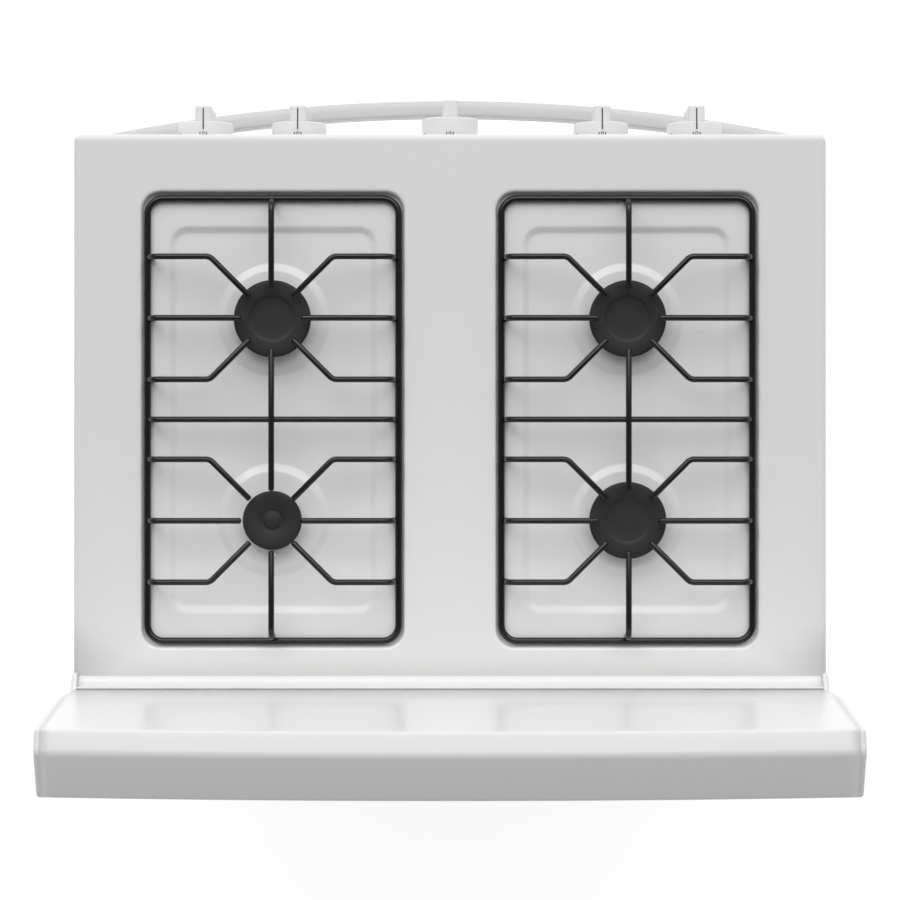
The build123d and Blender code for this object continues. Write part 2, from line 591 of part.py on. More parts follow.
def burner_boss(x, y):
    """Raise one boss from the pan of the cooktop being built, pierced for its burner and its electrode."""
    rise = PAN_DEPTH - RECESS_DEPTH
    middle_z = COOKTOP_Z - PAN_DEPTH + rise / 2
    with Locations((x, y, middle_z)):
        Cone(BOSS_FOOT_R, BOSS_TOP_R, rise)
    with Locations((x, y, middle_z - COOKTOP_SHEET)):
        Cone(BOSS_FOOT_R - 1, BOSS_TOP_R - 1, rise, mode=Mode.SUBTRACT)
    with Locations((x, y, COOKTOP_Z - RECESS_DEPTH)):
        Cylinder(BURNER_HOLE_R, 20, mode=Mode.SUBTRACT)
    with Locations((x, y + ELECTRODE_OFFSET, COOKTOP_Z - RECESS_DEPTH)):
        Cylinder(ELECTRODE_HOLE_R, 20, mode=Mode.SUBTRACT)


with BuildPart() as cooktop:
    depth = COOKTOP_REAR_Y - FRONT_Y
    middle_y = (COOKTOP_REAR_Y + FRONT_Y) / 2
    span_box((-HALF, HALF), (FRONT_Y, COOKTOP_REAR_Y), (COOKTOP_Z - SKIRT, COOKTOP_Z))
    fillet(cooktop.edges().filter_by(Axis.Z).group_by(Axis.Y)[0], COOKTOP_CORNER)
    rim = cooktop.faces().sort_by(Axis.Z)[-1].edges().sort_by(Axis.Y)[:-1]
    fillet(rim, COOKTOP_ROUND)
    inner_x = HALF - COOKTOP_SHEET
    with BuildSketch(Plane.XY.offset(COOKTOP_Z - SKIRT)):
        with Locations((0, middle_y + COOKTOP_SHEET)):
            RectangleRounded(2 * inner_x, depth, COOKTOP_CORNER - COOKTOP_SHEET)
        with Locations((0, COOKTOP_REAR_Y)):
            Rectangle(2 * inner_x, 40)
    extrude(amount=SKIRT - COOKTOP_SHEET, mode=Mode.SUBTRACT)
    lip_x = HALF - CAP_THICKNESS
    lip_y = (COOKTOP_REAR_Y - COOKTOP_SHEET, COOKTOP_REAR_Y)
    span_box((-lip_x, lip_x), lip_y, (COOKTOP_Z - COOKTOP_SHEET, COOKTOP_Z + REAR_LIP))
    for x in (-BURNER_X, BURNER_X):
        basin(x)
        for y in (GRATE_Y - BURNER_PITCH / 2, GRATE_Y + BURNER_PITCH / 2):
            burner_boss(x, y)
write(cooktop, "cooktop")

# ---- Burners ----
BURNERS = {
    "left_front": (-BURNER_X, GRATE_Y - BURNER_PITCH / 2, LARGE_CAP_R),
    "left_rear": (-BURNER_X, GRATE_Y + BURNER_PITCH / 2, LARGE_CAP_R),
    "right_front": (BURNER_X, GRATE_Y - BURNER_PITCH / 2, LARGE_CAP_R),
    "right_rear": (BURNER_X, GRATE_Y + BURNER_PITCH / 2, SMALL_CAP_R),
}
HEAD_R = {LARGE_CAP_R: 30.0, SMALL_CAP_R: 23.2}
CAP_BOTTOM_Z = COOKTOP_Z + 4.0
CAP_THICK = 5.0
CAP_BEVEL = 1.5
CAP_SINK = 1.5
SPIGOT_R = 14.5
BASE_Z = (COOKTOP_Z - 44.0, COOKTOP_Z - 24.0)
BASE_R = 27.0
FLAME_PORTS = 16
FLAME_PORT = (10.0, 1.6, 3.4)
with BuildPart() as burner_heads:
    seat_z = COOKTOP_Z - RECESS_DEPTH + 0.2
    for x, y, cap_r in BURNERS.values():
        stages = [
            (*BASE_Z, BASE_R),
            (BASE_Z[1], seat_z, BURNER_HOLE_R - 1.0),
            (seat_z, CAP_BOTTOM_Z - 0.2, HEAD_R[cap_r]),
        ]
        for low, high, radius in stages:
            with Locations((x, y, (low + high) / 2)):
                Cylinder(radius, high - low)
        with Locations((x, y, CAP_BOTTOM_Z)):
            Cylinder(SPIGOT_R + 0.5, 16.0, mode=Mode.SUBTRACT)
        with Locations((x, y, CAP_BOTTOM_Z - 2.2)):
            with PolarLocations(HEAD_R[cap_r], FLAME_PORTS):
                Box(*FLAME_PORT, mode=Mode.SUBTRACT)
write(burner_heads, "burner_heads")


def burner_cap(name, x, y, cap_r):
    """An enamelled cap with a bevelled rim, a sunken middle and a spigot that centres it on its head."""
    top_z = CAP_BOTTOM_Z + CAP_THICK
    with BuildPart() as cap:
        with Locations((x, y, CAP_BOTTOM_Z + CAP_THICK / 2)):
            Cylinder(cap_r, CAP_THICK)
        chamfer(cap.edges().sort_by(Axis.Z)[-1], CAP_BEVEL)
        with Locations((x, y, CAP_BOTTOM_Z - 2.5)):
            Cylinder(SPIGOT_R, 5.0)
        if cap_r == SMALL_CAP_R:
            with BuildSketch(Plane.XY.offset(top_z)):
                with Locations((x, y)):
                    Circle(12.2)
                    Circle(7.4, mode=Mode.SUBTRACT)
            extrude(amount=-CAP_SINK, mode=Mode.SUBTRACT)
        else:
            with Locations((x, y, top_z - CAP_SINK / 2)):
                Cone(20.6, 23.3, CAP_SINK, mode=Mode.SUBTRACT)
    write(cap, f"burner_cap_{name}")


for burner_name, (burner_x, burner_y, burner_r) in BURNERS.items():
    burner_cap(burner_name, burner_x, burner_y, burner_r)

with BuildPart() as spark_electrodes:
    for x, y, _ in BURNERS.values():
        with Locations((x, y + ELECTRODE_OFFSET, COOKTOP_Z - 10.0)):
            Cylinder(ELECTRODE_HOLE_R - 0.6, 26.0)
write(spark_electrodes, "spark_electrodes")

# ---- Grates ----
GRATE_SIZE = (253.2, 446.2)
GRATE_FRAME_R = 3.4
GRATE_CORNER = 16.0
FINGER_R = 3.0
FINGER_Z = COOKTOP_Z + 22.0
CROSSBAR_Z = FINGER_Z - 5.0
FRAME_ROD_Z = COOKTOP_Z - RECESS_DEPTH + GRATE_FRAME_R + CLEARANCE
LEG_X = 121.6
LEG_Y = 218.1
ANGLED_REACH = 61.4
TIP_REACH = 31.5
FINGER_BEND = 10.0


def grate(centre_x, name):
    """A wire grate: a rod frame with legs bent inward as fingers that point at both burners."""
    half_pitch = BURNER_PITCH / 2
    tip_diagonal = TIP_REACH * cos(radians(45))
    with BuildPart() as wires:

        def wire(points, bend=FINGER_BEND):
            rod([(centre_x + x, GRATE_Y + y, z) for x, y, z in points], FINGER_R, bend)

        frame_plane, centre = Plane.XY.offset(FRAME_ROD_Z), (centre_x, GRATE_Y)
        ring_rod(frame_plane, centre, GRATE_SIZE, GRATE_CORNER, GRATE_FRAME_R)
        for side in (-1, 1):
            leg_x, tip_x = side * LEG_X, side * TIP_REACH
            for burner in (-half_pitch, half_pitch):
                wire([(leg_x, burner, FRAME_ROD_Z), (leg_x, burner, FINGER_Z), (tip_x, burner, FINGER_Z)])
                for turn in (-1, 1):
                    y = burner + turn * ANGLED_REACH
                    tip = (side * tip_diagonal, burner + turn * tip_diagonal, FINGER_Z)
                    elbow = (side * ANGLED_REACH, y, FINGER_Z)
                    wire([(leg_x, y, FRAME_ROD_Z), (leg_x, y, FINGER_Z), elbow, tip])
            end = side * LEG_Y
            tip_y = side * (half_pitch + TIP_REACH)
            wire([(0, end, FRAME_ROD_Z), (0, end, FINGER_Z), (0, tip_y, FINGER_Z)])
        inner_tip = half_pitch - TIP_REACH
        wire([(0, -inner_tip, FINGER_Z), (0, inner_tip, FINGER_Z)], bend=0)
        left_leg = [(-LEG_X, 0, FRAME_ROD_Z), (-LEG_X, 0, CROSSBAR_Z)]
        right_leg = [(LEG_X, 0, CROSSBAR_Z), (LEG_X, 0, FRAME_ROD_Z)]
        wire(left_leg + right_leg)
    write(wires, name)


grate(-BURNER_X, "grate_left")
grate(BURNER_X, "grate_right")

# ---- Control panel and gas train ----
STEM_HOLE_R = 6.5
with BuildPart() as control_panel:
    panel_y = (PANEL_Y, FRAME_Y - 0.5)
    span_box((-SHELL_X, SHELL_X), panel_y, PANEL_Z)
    hollow_x, hollow_y = SHELL_X - DOOR_SHEET, (panel_y[0] + DOOR_SHEET, panel_y[1] + 1)
    hollow_z = (PANEL_Z[0] + DOOR_SHEET, PANEL_Z[1] - DOOR_SHEET)
    span_box((-hollow_x, hollow_x), hollow_y, hollow_z, Mode.SUBTRACT)
    fillet(control_panel.faces().sort_by(Axis.Y)[0].edges().filter_by(Axis.X).sort_by(Axis.Z)[0], 2.0)
    for x in KNOB_X.values():
        span_round((x, KNOB_Z), STEM_HOLE_R, (PANEL_Y - 5, PANEL_Y + 5), Mode.SUBTRACT)
write(control_panel, "control_panel")

MANIFOLD_X = -275.0
REGULATOR_Y = (258.0, 310.0)
with BuildPart() as gas_manifold_pipe:
    corners = [(MANIFOLD_X, MANIFOLD_Y), (PIPE_X, MANIFOLD_Y), (PIPE_X, REGULATOR_Y[0] - 0.2)]
    rod([(x, y, KNOB_Z) for x, y in corners], PIPE_R, bend=40.0)
write(gas_manifold_pipe, "gas_manifold_pipe")

with BuildPart() as pressure_regulator:
    middle_y = sum(REGULATOR_Y) / 2
    with Locations((PIPE_X, middle_y, KNOB_Z - 6)):
        Cylinder(22.0, 26.0)
        Cylinder(26.0, 4.0)
    with Locations((PIPE_X, middle_y, KNOB_Z + 14)):
        Cylinder(10.0, 14.0)
    span_round((PIPE_X, KNOB_Z), 14.0, REGULATOR_Y)
write(pressure_regulator, "pressure_regulator")

INLET_Y = (REGULATOR_Y[1] + 0.2, 332.0)
INLET_R = 9.3
INLET_DEPTH = 15.0
INLET_HEX_R = 18.0
INLET_HEX = 14.0
with BuildPart() as gas_inlet_fitting:
    span_round((PIPE_X, KNOB_Z), 14.5, INLET_Y)
    with BuildSketch(front_view(INLET_Y[1], (PIPE_X, KNOB_Z))):
        RegularPolygon(INLET_HEX_R, 6)
    extrude(amount=INLET_HEX)
    bore_y = (INLET_Y[1] - INLET_DEPTH, INLET_Y[1] + 1)
    span_round((PIPE_X, KNOB_Z), INLET_R, bore_y, Mode.SUBTRACT)
write(gas_inlet_fitting, "gas_inlet_fitting")

OUTLET_Y = -243.5
OUTLET_Z = KNOB_Z + 22.0
OUTLET_R = 6.0
VALVE_HALF_HEIGHT = 13.0
BURNER_VALVE_HALF = 11.0
THERMOSTAT_HALF = 26.0
STEM_BORE_R = STEM_R + 0.1
STEM_DEPTH = 12.0


def valve_body(x, half, with_outlet):
    """A cock on the manifold, bored for its stem, added to the part being built."""
    span_box((x - half, x + half), VALVE_Y, (KNOB_Z - VALVE_HALF_HEIGHT, KNOB_Z + VALVE_HALF_HEIGHT))
    if with_outlet:
        low_z = KNOB_Z + VALVE_HALF_HEIGHT - 1
        with Locations((x, OUTLET_Y, (low_z + OUTLET_Z) / 2)):
            Cylinder(OUTLET_R, OUTLET_Z - low_z)
    span_round((x, KNOB_Z), STEM_BORE_R, (VALVE_Y[0] - 1, VALVE_Y[0] + STEM_DEPTH), Mode.SUBTRACT)


with BuildPart() as burner_valves:
    for valve_name, x in KNOB_X.items():
        if valve_name != "oven":
            valve_body(x, BURNER_VALVE_HALF, with_outlet=True)
write(burner_valves, "burner_valves")

with BuildPart() as oven_thermostat:
    valve_body(KNOB_X["oven"], THERMOSTAT_HALF, with_outlet=False)
write(oven_thermostat, "oven_thermostat")

TUBE_R = 3.5
TUBE_BEND = 8.0
TUBE_Z = COOKTOP_Z - 34.0
AISLE_X = 128.0


def gas_tube(valve_x, burner_x, burner_y, aisle=()):
    """Add one gas tube, from a valve outlet up and back to a burner, to the part being built."""
    route = [
        (valve_x, OUTLET_Y, OUTLET_Z + 0.1),
        (valve_x, OUTLET_Y, TUBE_Z),
        *[(x, y, TUBE_Z) for x, y in aisle],
        (burner_x, burner_y - 50, TUBE_Z),
        (burner_x, burner_y - BASE_R - 0.2, TUBE_Z),
    ]
    rod(route, TUBE_R, bend=TUBE_BEND)


with BuildPart() as burner_gas_tubes:
    for side in (-1, 1):
        front_y, rear_y = BURNERS["left_front"][1], BURNERS["left_rear"][1]
        gas_tube(side * KNOB_X["right_front"], side * BURNER_X, front_y)
        aisle_x = side * AISLE_X
        aisle = [(aisle_x, front_y - 60), (aisle_x, rear_y - 90)]
        gas_tube(side * KNOB_X["right_rear"], side * BURNER_X, rear_y, aisle)
write(burner_gas_tubes, "burner_gas_tubes")

# ---- Valve stems and knobs ----
KNOB_BORE_DEPTH = 13.0
KNOB_FLAT = 1.0
KNOB_ROUND = 1.5
BLADE_WIDTH = 17.0
STEM_SHOULDER_Y = -268.0
STEM_REACH = 35.0
OVEN_KNOB = (29.5, -314.9, -331.9)  # skirt radius, then the Y of the skirt's face and of the blade's top
BURNER_KNOB = (28.75, -310.4, -326.3)


def stem_section(radius):
    """A round section with one flat, as a sketch on the plane in use."""
    Circle(radius)
    with Locations((0, radius + radius - KNOB_FLAT)):
        Rectangle(2 * radius, 2 * radius, mode=Mode.SUBTRACT)


def valve_stem(name, x):
    """The steel stem of one valve: round in its bore, flatted where the knob slides on."""
    with BuildPart() as stem:
        span_round((x, KNOB_Z), STEM_R, (STEM_SHOULDER_Y, VALVE_Y[0] + STEM_DEPTH - 1.0))
        with BuildSketch(front_view(STEM_SHOULDER_Y, (x, KNOB_Z))):
            stem_section(STEM_R)
        extrude(amount=STEM_REACH)
    write(stem, f"valve_stem_{name}")


def knob(name, x, skirt_r, skirt_y, blade_y):
    """A moulded knob: a round skirt with a tall grip blade across it, bored from behind for its stem."""
    centre = (x, KNOB_Z)
    with BuildPart() as moulding:
        with BuildSketch(front_view(KNOB_BACK_Y, centre)):
            Circle(skirt_r)
        extrude(amount=KNOB_BACK_Y - skirt_y, taper=2.0)
        with BuildSketch(front_view(skirt_y, centre)):
            Circle(skirt_r - 0.8)
            Rectangle(BLADE_WIDTH, 2 * skirt_r, mode=Mode.INTERSECT)
        extrude(amount=skirt_y - blade_y, taper=1.0)
        fillet(moulding.faces().sort_by(Axis.Y)[0].edges(), KNOB_ROUND)
        with BuildSketch(front_view(KNOB_BACK_Y, centre)):
            stem_section(STEM_R + 0.15)
        extrude(amount=KNOB_BORE_DEPTH, mode=Mode.SUBTRACT)
    write(moulding, f"knob_{name}")


for knob_name, knob_x in KNOB_X.items():
    valve_stem(knob_name, knob_x)
    knob(knob_name, knob_x, *(OVEN_KNOB if knob_name == "oven" else BURNER_KNOB))

# ---- Backguard ----
ARCH_R = (HALF**2 + ARCH_RISE**2) / (2 * ARCH_RISE)
ARCH_CENTRE_Z = GUARD_PROFILE[3][1] + ARCH_RISE - ARCH_R
SWING = degrees(asin(HALF / ARCH_R)) + 0.3
GUARD_SHEET = 1.5


def arch_plane():
    """The radial plane at the left end of the arch, with its x along Y and its y up the radius."""
    angle = radians(-SWING)
    return Plane(origin=(0, 0, ARCH_CENTRE_Z), x_dir=(0, 1, 0), z_dir=(cos(angle), 0, -sin(angle)))


def arch_points(profile):
    """Profile points raised to the middle of the arch and measured from the arch's centre."""
    return [(y, z + ARCH_RISE - ARCH_CENTRE_Z) for y, z in profile]


def arch_height(x, z):
    """Height at a distance x from the middle of a line that is z high at the ends."""
    radius = z + ARCH_RISE - ARCH_CENTRE_Z
    return ARCH_CENTRE_Z + sqrt(radius**2 - x**2)


ARCH_AXIS = Axis((0, 0, ARCH_CENTRE_Z), (0, 1, 0))
SKIN_X = HALF - CAP_THICKNESS - 0.1
with BuildPart() as backguard_skin:
    with BuildSketch(arch_plane()):
        with BuildLine():
            Polyline(*arch_points(GUARD_PROFILE))
            offset(amount=GUARD_SHEET, side=Side.RIGHT)
        make_face()
    revolve(axis=ARCH_AXIS, revolution_arc=2 * SWING)
    span_box((-SKIN_X, SKIN_X), (200, 400), (COOKTOP_Z - 8, 1300), Mode.INTERSECT)
write(backguard_skin, "backguard_skin")

REAR_COVER_X = SKIN_X - 1.0
REAR_COVER_DROP = 4.0  # below the skin's rear edge
with BuildPart() as backguard_rear_cover:
    rear_edge_z = GUARD_PROFILE[-1][1]
    low_z = SHELL_TOP_Z + 1.0
    corner_z = arch_height(REAR_COVER_X, rear_edge_z) - REAR_COVER_DROP
    crown = (0, arch_height(0, rear_edge_z) - REAR_COVER_DROP)
    left, right = (-REAR_COVER_X, corner_z), (REAR_COVER_X, corner_z)
    with BuildSketch(front_view(REAR_Y - 0.2)):
        with BuildLine():
            Polyline(right, (REAR_COVER_X, low_z), (-REAR_COVER_X, low_z), left)
            ThreePointArc(left, crown, right)
        make_face()
    extrude(amount=SHEET)
write(backguard_rear_cover, "backguard_rear_cover")

TOE_REACH = 15.0
TOE_HEIGHT = 20.0
CAP_REVEAL = 0.8


def backguard_cap(side, name):
    """A moulded end cap that closes one end of the backguard, with a toe over the cooktop's rear corner."""
    with BuildPart() as cap:
        with BuildSketch(Plane.YZ.offset(min(side * HALF, side * (HALF - CAP_THICKNESS)))):
            with BuildLine():
                upper = [(y - CAP_REVEAL, z) for y, z in GUARD_PROFILE[1:4]]
                toe_y = GUARD_FACE_Y - TOE_REACH
                foot_y, foot_z = COOKTOP_REAR_Y + 0.2, COOKTOP_Z - SKIRT
                outline = [
                    (foot_y, foot_z),
                    (foot_y, COOKTOP_Z + 0.3),
                    (toe_y, COOKTOP_Z + 0.3),
                    (toe_y, COOKTOP_Z + TOE_HEIGHT - 8),
                    (GUARD_FACE_Y - CAP_REVEAL, COOKTOP_Z + TOE_HEIGHT),
                    *upper,
                    *GUARD_PROFILE[4:],
                    (REAR_Y, foot_z),
                ]
                Polyline(*outline, close=True)
            make_face()
        extrude(amount=CAP_THICKNESS)
        outer = cap.faces().sort_by(Axis.X)[-1 if side > 0 else 0]
        fillet(outer.edges().filter_by_position(Axis.Z, COOKTOP_Z + 1, 1200), 2.0)
    write(cap, name)


backguard_cap(-1, "backguard_cap_left")
backguard_cap(1, "backguard_cap_right")
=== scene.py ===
import json
from math import atan2, cos, pi, radians, sin, sqrt, tan

import bmesh
import bpy
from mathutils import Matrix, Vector


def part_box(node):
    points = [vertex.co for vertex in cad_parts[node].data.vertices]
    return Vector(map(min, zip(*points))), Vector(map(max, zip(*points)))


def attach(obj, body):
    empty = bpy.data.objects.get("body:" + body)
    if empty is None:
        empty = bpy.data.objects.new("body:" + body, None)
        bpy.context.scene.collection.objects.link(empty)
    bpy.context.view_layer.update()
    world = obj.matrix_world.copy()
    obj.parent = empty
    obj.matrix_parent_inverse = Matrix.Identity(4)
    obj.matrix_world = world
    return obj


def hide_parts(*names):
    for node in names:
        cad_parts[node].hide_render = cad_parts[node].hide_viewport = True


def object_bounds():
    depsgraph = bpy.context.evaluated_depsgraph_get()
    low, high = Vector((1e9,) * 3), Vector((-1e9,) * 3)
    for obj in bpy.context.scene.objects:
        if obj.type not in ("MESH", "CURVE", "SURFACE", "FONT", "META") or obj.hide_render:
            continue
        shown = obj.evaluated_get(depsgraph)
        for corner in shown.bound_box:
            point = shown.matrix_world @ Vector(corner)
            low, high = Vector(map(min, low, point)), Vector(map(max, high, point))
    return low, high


# The looks of a freestanding gas range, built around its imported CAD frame. Sizes are in metres.

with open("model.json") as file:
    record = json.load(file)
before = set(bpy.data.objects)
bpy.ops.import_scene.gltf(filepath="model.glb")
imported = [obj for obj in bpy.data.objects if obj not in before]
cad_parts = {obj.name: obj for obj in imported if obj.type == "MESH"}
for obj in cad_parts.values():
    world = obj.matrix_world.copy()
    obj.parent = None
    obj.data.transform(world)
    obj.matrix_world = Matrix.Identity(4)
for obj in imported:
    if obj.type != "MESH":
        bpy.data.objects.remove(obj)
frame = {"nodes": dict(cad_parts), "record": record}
CAD_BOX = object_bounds()

# Places read from the frame
COOK_LOW, COOK_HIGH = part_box("cooktop")
SKIN_LOW, SKIN_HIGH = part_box("backguard_skin")
GRATE_LOW, GRATE_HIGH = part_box("grate_right")
HANDLE_LOW, HANDLE_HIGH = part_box("door_handle")
COOKTOP_Z = 0.914
BURNER_X = (GRATE_LOW[0] + GRATE_HIGH[0]) / 2
GRATE_Y = (GRATE_LOW[1] + GRATE_HIGH[1]) / 2
BURNER_OFFSET = 0.1013  # from the middle of a grate to each of its burners
BURNERS = {
    "left_front": (-BURNER_X, GRATE_Y - BURNER_OFFSET),
    "left_rear": (-BURNER_X, GRATE_Y + BURNER_OFFSET),
    "right_front": (BURNER_X, GRATE_Y - BURNER_OFFSET),
    "right_rear": (BURNER_X, GRATE_Y + BURNER_OFFSET),
}
SMALL_BURNER = "right_rear"


# ---- Camera, floor and light ----
CAMERA_Z = 3.434
CAMERA_Y = 0.02725
CAMERA_LENS = 100.1
CAMERA_SENSOR = 36.0
CAMERA_REACH = 50.0
KEY_ELEVATION = 48.0  # degrees above the horizon, in front of the range
KEY_EDGE, KEY_CORE = 0.76, 1.0  # cosines of the angles where the soft key begins and where it is full
KEY_STRENGTH, FILL_STRENGTH = 2.55, 0.10
KEY_WIDTH = 0.62  # under 1 stretches the key sideways
SIDE_STRENGTH = 0.30  # what a soft fill adds from the left and the right
LAMP_PLACE = (1.6, -2.4, 3.4)
LAMP_TARGET = (0.0, 0.0, 0.8)
LAMP_SIZE, LAMP_POWER = 0.8, 5.0


def look_at(thing, target):
    """Turn a light so that it shines at a point."""
    direction = Vector(target) - thing.location
    thing.rotation_euler = direction.to_track_quat("-Z", "Y").to_euler()


def add_camera():
    """A camera straight above the range, with the range's front at the top of the picture."""
    data = bpy.data.cameras.new("camera")
    data.lens = CAMERA_LENS
    data.sensor_width = CAMERA_SENSOR
    data.clip_end = CAMERA_REACH
    camera = bpy.data.objects.new("camera", data)
    camera.location = (0.0, CAMERA_Y, CAMERA_Z)
    camera.rotation_euler = (0.0, 0.0, pi)
    bpy.context.scene.collection.objects.link(camera)
    bpy.context.scene.camera = camera


def add_light(name, place, target, size, power):
    """A square soft box aimed at a point."""
    data = bpy.data.lights.new(name, "AREA")
    data.shape = "SQUARE"
    data.size = size
    data.energy = power
    lamp = bpy.data.objects.new(name, data)
    lamp.location = place
    bpy.context.scene.collection.objects.link(lamp)
    look_at(lamp, target)


def add_studio():
    """One wide soft key in front of the range, as a glow in the sky, with a softer fill from both sides."""
    world = bpy.data.worlds.new("studio")
    world.use_nodes = True
    tree = world.node_tree
    sky = tree.nodes["Background"]
    sky.inputs["Color"].default_value = (1.0, 1.0, 1.0, 1.0)
    direction = tree.nodes.new("ShaderNodeTexCoord")
    squeeze = tree.nodes.new("ShaderNodeVectorMath")
    squeeze.operation = "MULTIPLY"
    squeeze.inputs[1].default_value = (KEY_WIDTH, 1.0, 1.0)
    unit = tree.nodes.new("ShaderNodeVectorMath")
    unit.operation = "NORMALIZE"
    aim = tree.nodes.new("ShaderNodeVectorMath")
    aim.operation = "DOT_PRODUCT"
    aim.inputs[1].default_value = (0.0, -cos(radians(KEY_ELEVATION)), sin(radians(KEY_ELEVATION)))
    level = tree.nodes.new("ShaderNodeMapRange")
    level.interpolation_type = "SMOOTHSTEP"
    level.inputs["From Min"].default_value = KEY_EDGE
    level.inputs["From Max"].default_value = KEY_CORE
    level.inputs["To Min"].default_value = FILL_STRENGTH
    level.inputs["To Max"].default_value = KEY_STRENGTH
    split = tree.nodes.new("ShaderNodeSeparateXYZ")
    square = tree.nodes.new("ShaderNodeMath")
    square.operation = "MULTIPLY"
    total = tree.nodes.new("ShaderNodeMath")
    total.operation = "MULTIPLY_ADD"
    total.inputs[1].default_value = SIDE_STRENGTH
    tree.links.new(direction.outputs["Generated"], split.inputs["Vector"])
    tree.links.new(split.outputs["X"], square.inputs[0])
    tree.links.new(split.outputs["X"], square.inputs[1])
    tree.links.new(square.outputs["Value"], total.inputs[0])
    tree.links.new(direction.outputs["Generated"], squeeze.inputs[0])
    tree.links.new(squeeze.outputs["Vector"], unit.inputs[0])
    tree.links.new(unit.outputs["Vector"], aim.inputs[0])
    tree.links.new(aim.outputs["Value"], level.inputs["Value"])
    tree.links.new(level.outputs["Result"], total.inputs[2])
    tree.links.new(total.outputs["Value"], sky.inputs["Strength"])
    bpy.context.scene.world = world
    bpy.context.scene.view_settings.view_transform = "Standard"
    add_light("key_lamp", LAMP_PLACE, LAMP_TARGET, LAMP_SIZE, LAMP_POWER)


# ---- Node materials ----
def new_material(name):
    """A node material, its Principled shader, and a function that adds nodes and wires their inputs."""
    material = bpy.data.materials.new(name)
    material.use_nodes = True
    tree = material.node_tree
    shader = tree.nodes["Principled BSDF"]

    def node(kind, inputs=None, **settings):
        made = tree.nodes.new(kind)
        for key, value in settings.items():
            setattr(made, key, value)
        for key, value in (inputs or {}).items():
            if isinstance(value, bpy.types.NodeSocket):
                tree.links.new(value, made.inputs[key])
            else:
                made.inputs[key].default_value = value
        return made

    return material, shader, node


def two_tones(node, factor, low, high):
    """A ramp between two colours."""
    ramp = node("ShaderNodeValToRGB", {"Fac": factor.outputs["Fac"]})
    ramp.color_ramp.elements[0].color = low
    ramp.color_ramp.elements[1].color = high
    return ramp


def connect(material, colour, relief, gloss=None):
    """Wire a material's colour and bump, and its roughness where it varies, into its shader."""
    links = material.node_tree.links
    shader = material.node_tree.nodes["Principled BSDF"]
    links.new(colour.outputs["Color"], shader.inputs["Base Color"])
    links.new(relief.outputs["Normal"], shader.inputs["Normal"])
    if gloss:
        links.new(gloss.outputs["Result"], shader.inputs["Roughness"])


def tint(colour, factor):
    """A colour made lighter or darker."""
    return tuple(min(1.0, channel * factor) for channel in colour) + (1.0,)


def finish_material(name, colour, rough, metallic=0.0, grain=400.0, bump=0.04, vary=0.03, **extra):
    """A surface whose colour and roughness drift gently, with a fine grain in its bump."""
    material, shader, node = new_material(name)
    place = node("ShaderNodeTexCoord").outputs["Object"]
    drift = node("ShaderNodeTexNoise", {"Vector": place, "Scale": 9.0, "Detail": 4.0})
    fine = node("ShaderNodeTexNoise", {"Vector": place, "Scale": grain, "Detail": 3.0, "Roughness": 0.6})
    ramp = two_tones(node, drift, tint(colour, 1.0 - vary), tint(colour, 1.0 + vary))
    ramp.color_ramp.elements[0].position = 0.3
    ramp.color_ramp.elements[1].position = 0.7
    gloss = node(
        "ShaderNodeMapRange",
        {"Value": drift.outputs["Fac"], "To Min": rough * 0.85, "To Max": min(1.0, rough * 1.18)},
    )
    relief = node("ShaderNodeBump", {"Height": fine.outputs["Fac"], "Strength": bump, "Distance": 0.0006})
    connect(material, ramp, relief, gloss)
    shader.inputs["Metallic"].default_value = metallic
    for socket, value in extra.items():
        shader.inputs[socket.replace("_", " ")].default_value = value
    return material


def white_enamel(name, colour):
    """Gloss porcelain enamel: faint orange peel under a clear, even gloss."""
    material, shader, node = new_material(name)
    place = node("ShaderNodeTexCoord").outputs["Object"]
    peel = node("ShaderNodeTexNoise", {"Vector": place, "Scale": 170.0, "Detail": 2.0, "Roughness": 0.45})
    broad = node("ShaderNodeTexNoise", {"Vector": place, "Scale": 5.0, "Detail": 3.0})
    ramp = two_tones(node, broad, tint(colour, 0.996), tint(colour, 1.004))
    gloss = node("ShaderNodeMapRange", {"Value": broad.outputs["Fac"], "To Min": 0.28, "To Max": 0.31})
    relief = node("ShaderNodeBump", {"Height": peel.outputs["Fac"], "Strength": 0.05, "Distance": 0.0005})
    connect(material, ramp, relief, gloss)
    shader.inputs["Coat Weight"].default_value = 0.25
    shader.inputs["Coat Roughness"].default_value = 0.12
    return material


def speckled_enamel(name, colour, fleck):
    """Dark oven enamel with small pale flecks."""
    material, shader, node = new_material(name)
    place = node("ShaderNodeTexCoord").outputs["Object"]
    cells = node("ShaderNodeTexVoronoi", {"Vector": place, "Scale": 260.0})
    ramp = node("ShaderNodeValToRGB", {"Fac": cells.outputs["Distance"]})
    ramp.color_ramp.elements[0].position = 0.16
    ramp.color_ramp.elements[0].color = tint(fleck, 1.0)
    ramp.color_ramp.elements[1].position = 0.22
    ramp.color_ramp.elements[1].color = tint(colour, 1.0)
    wave = node("ShaderNodeTexNoise", {"Vector": place, "Scale": 60.0})
    relief = node("ShaderNodeBump", {"Height": wave.outputs["Fac"], "Strength": 0.08, "Distance": 0.0005})
    connect(material, ramp, relief)
    shader.inputs["Roughness"].default_value = 0.28
    return material


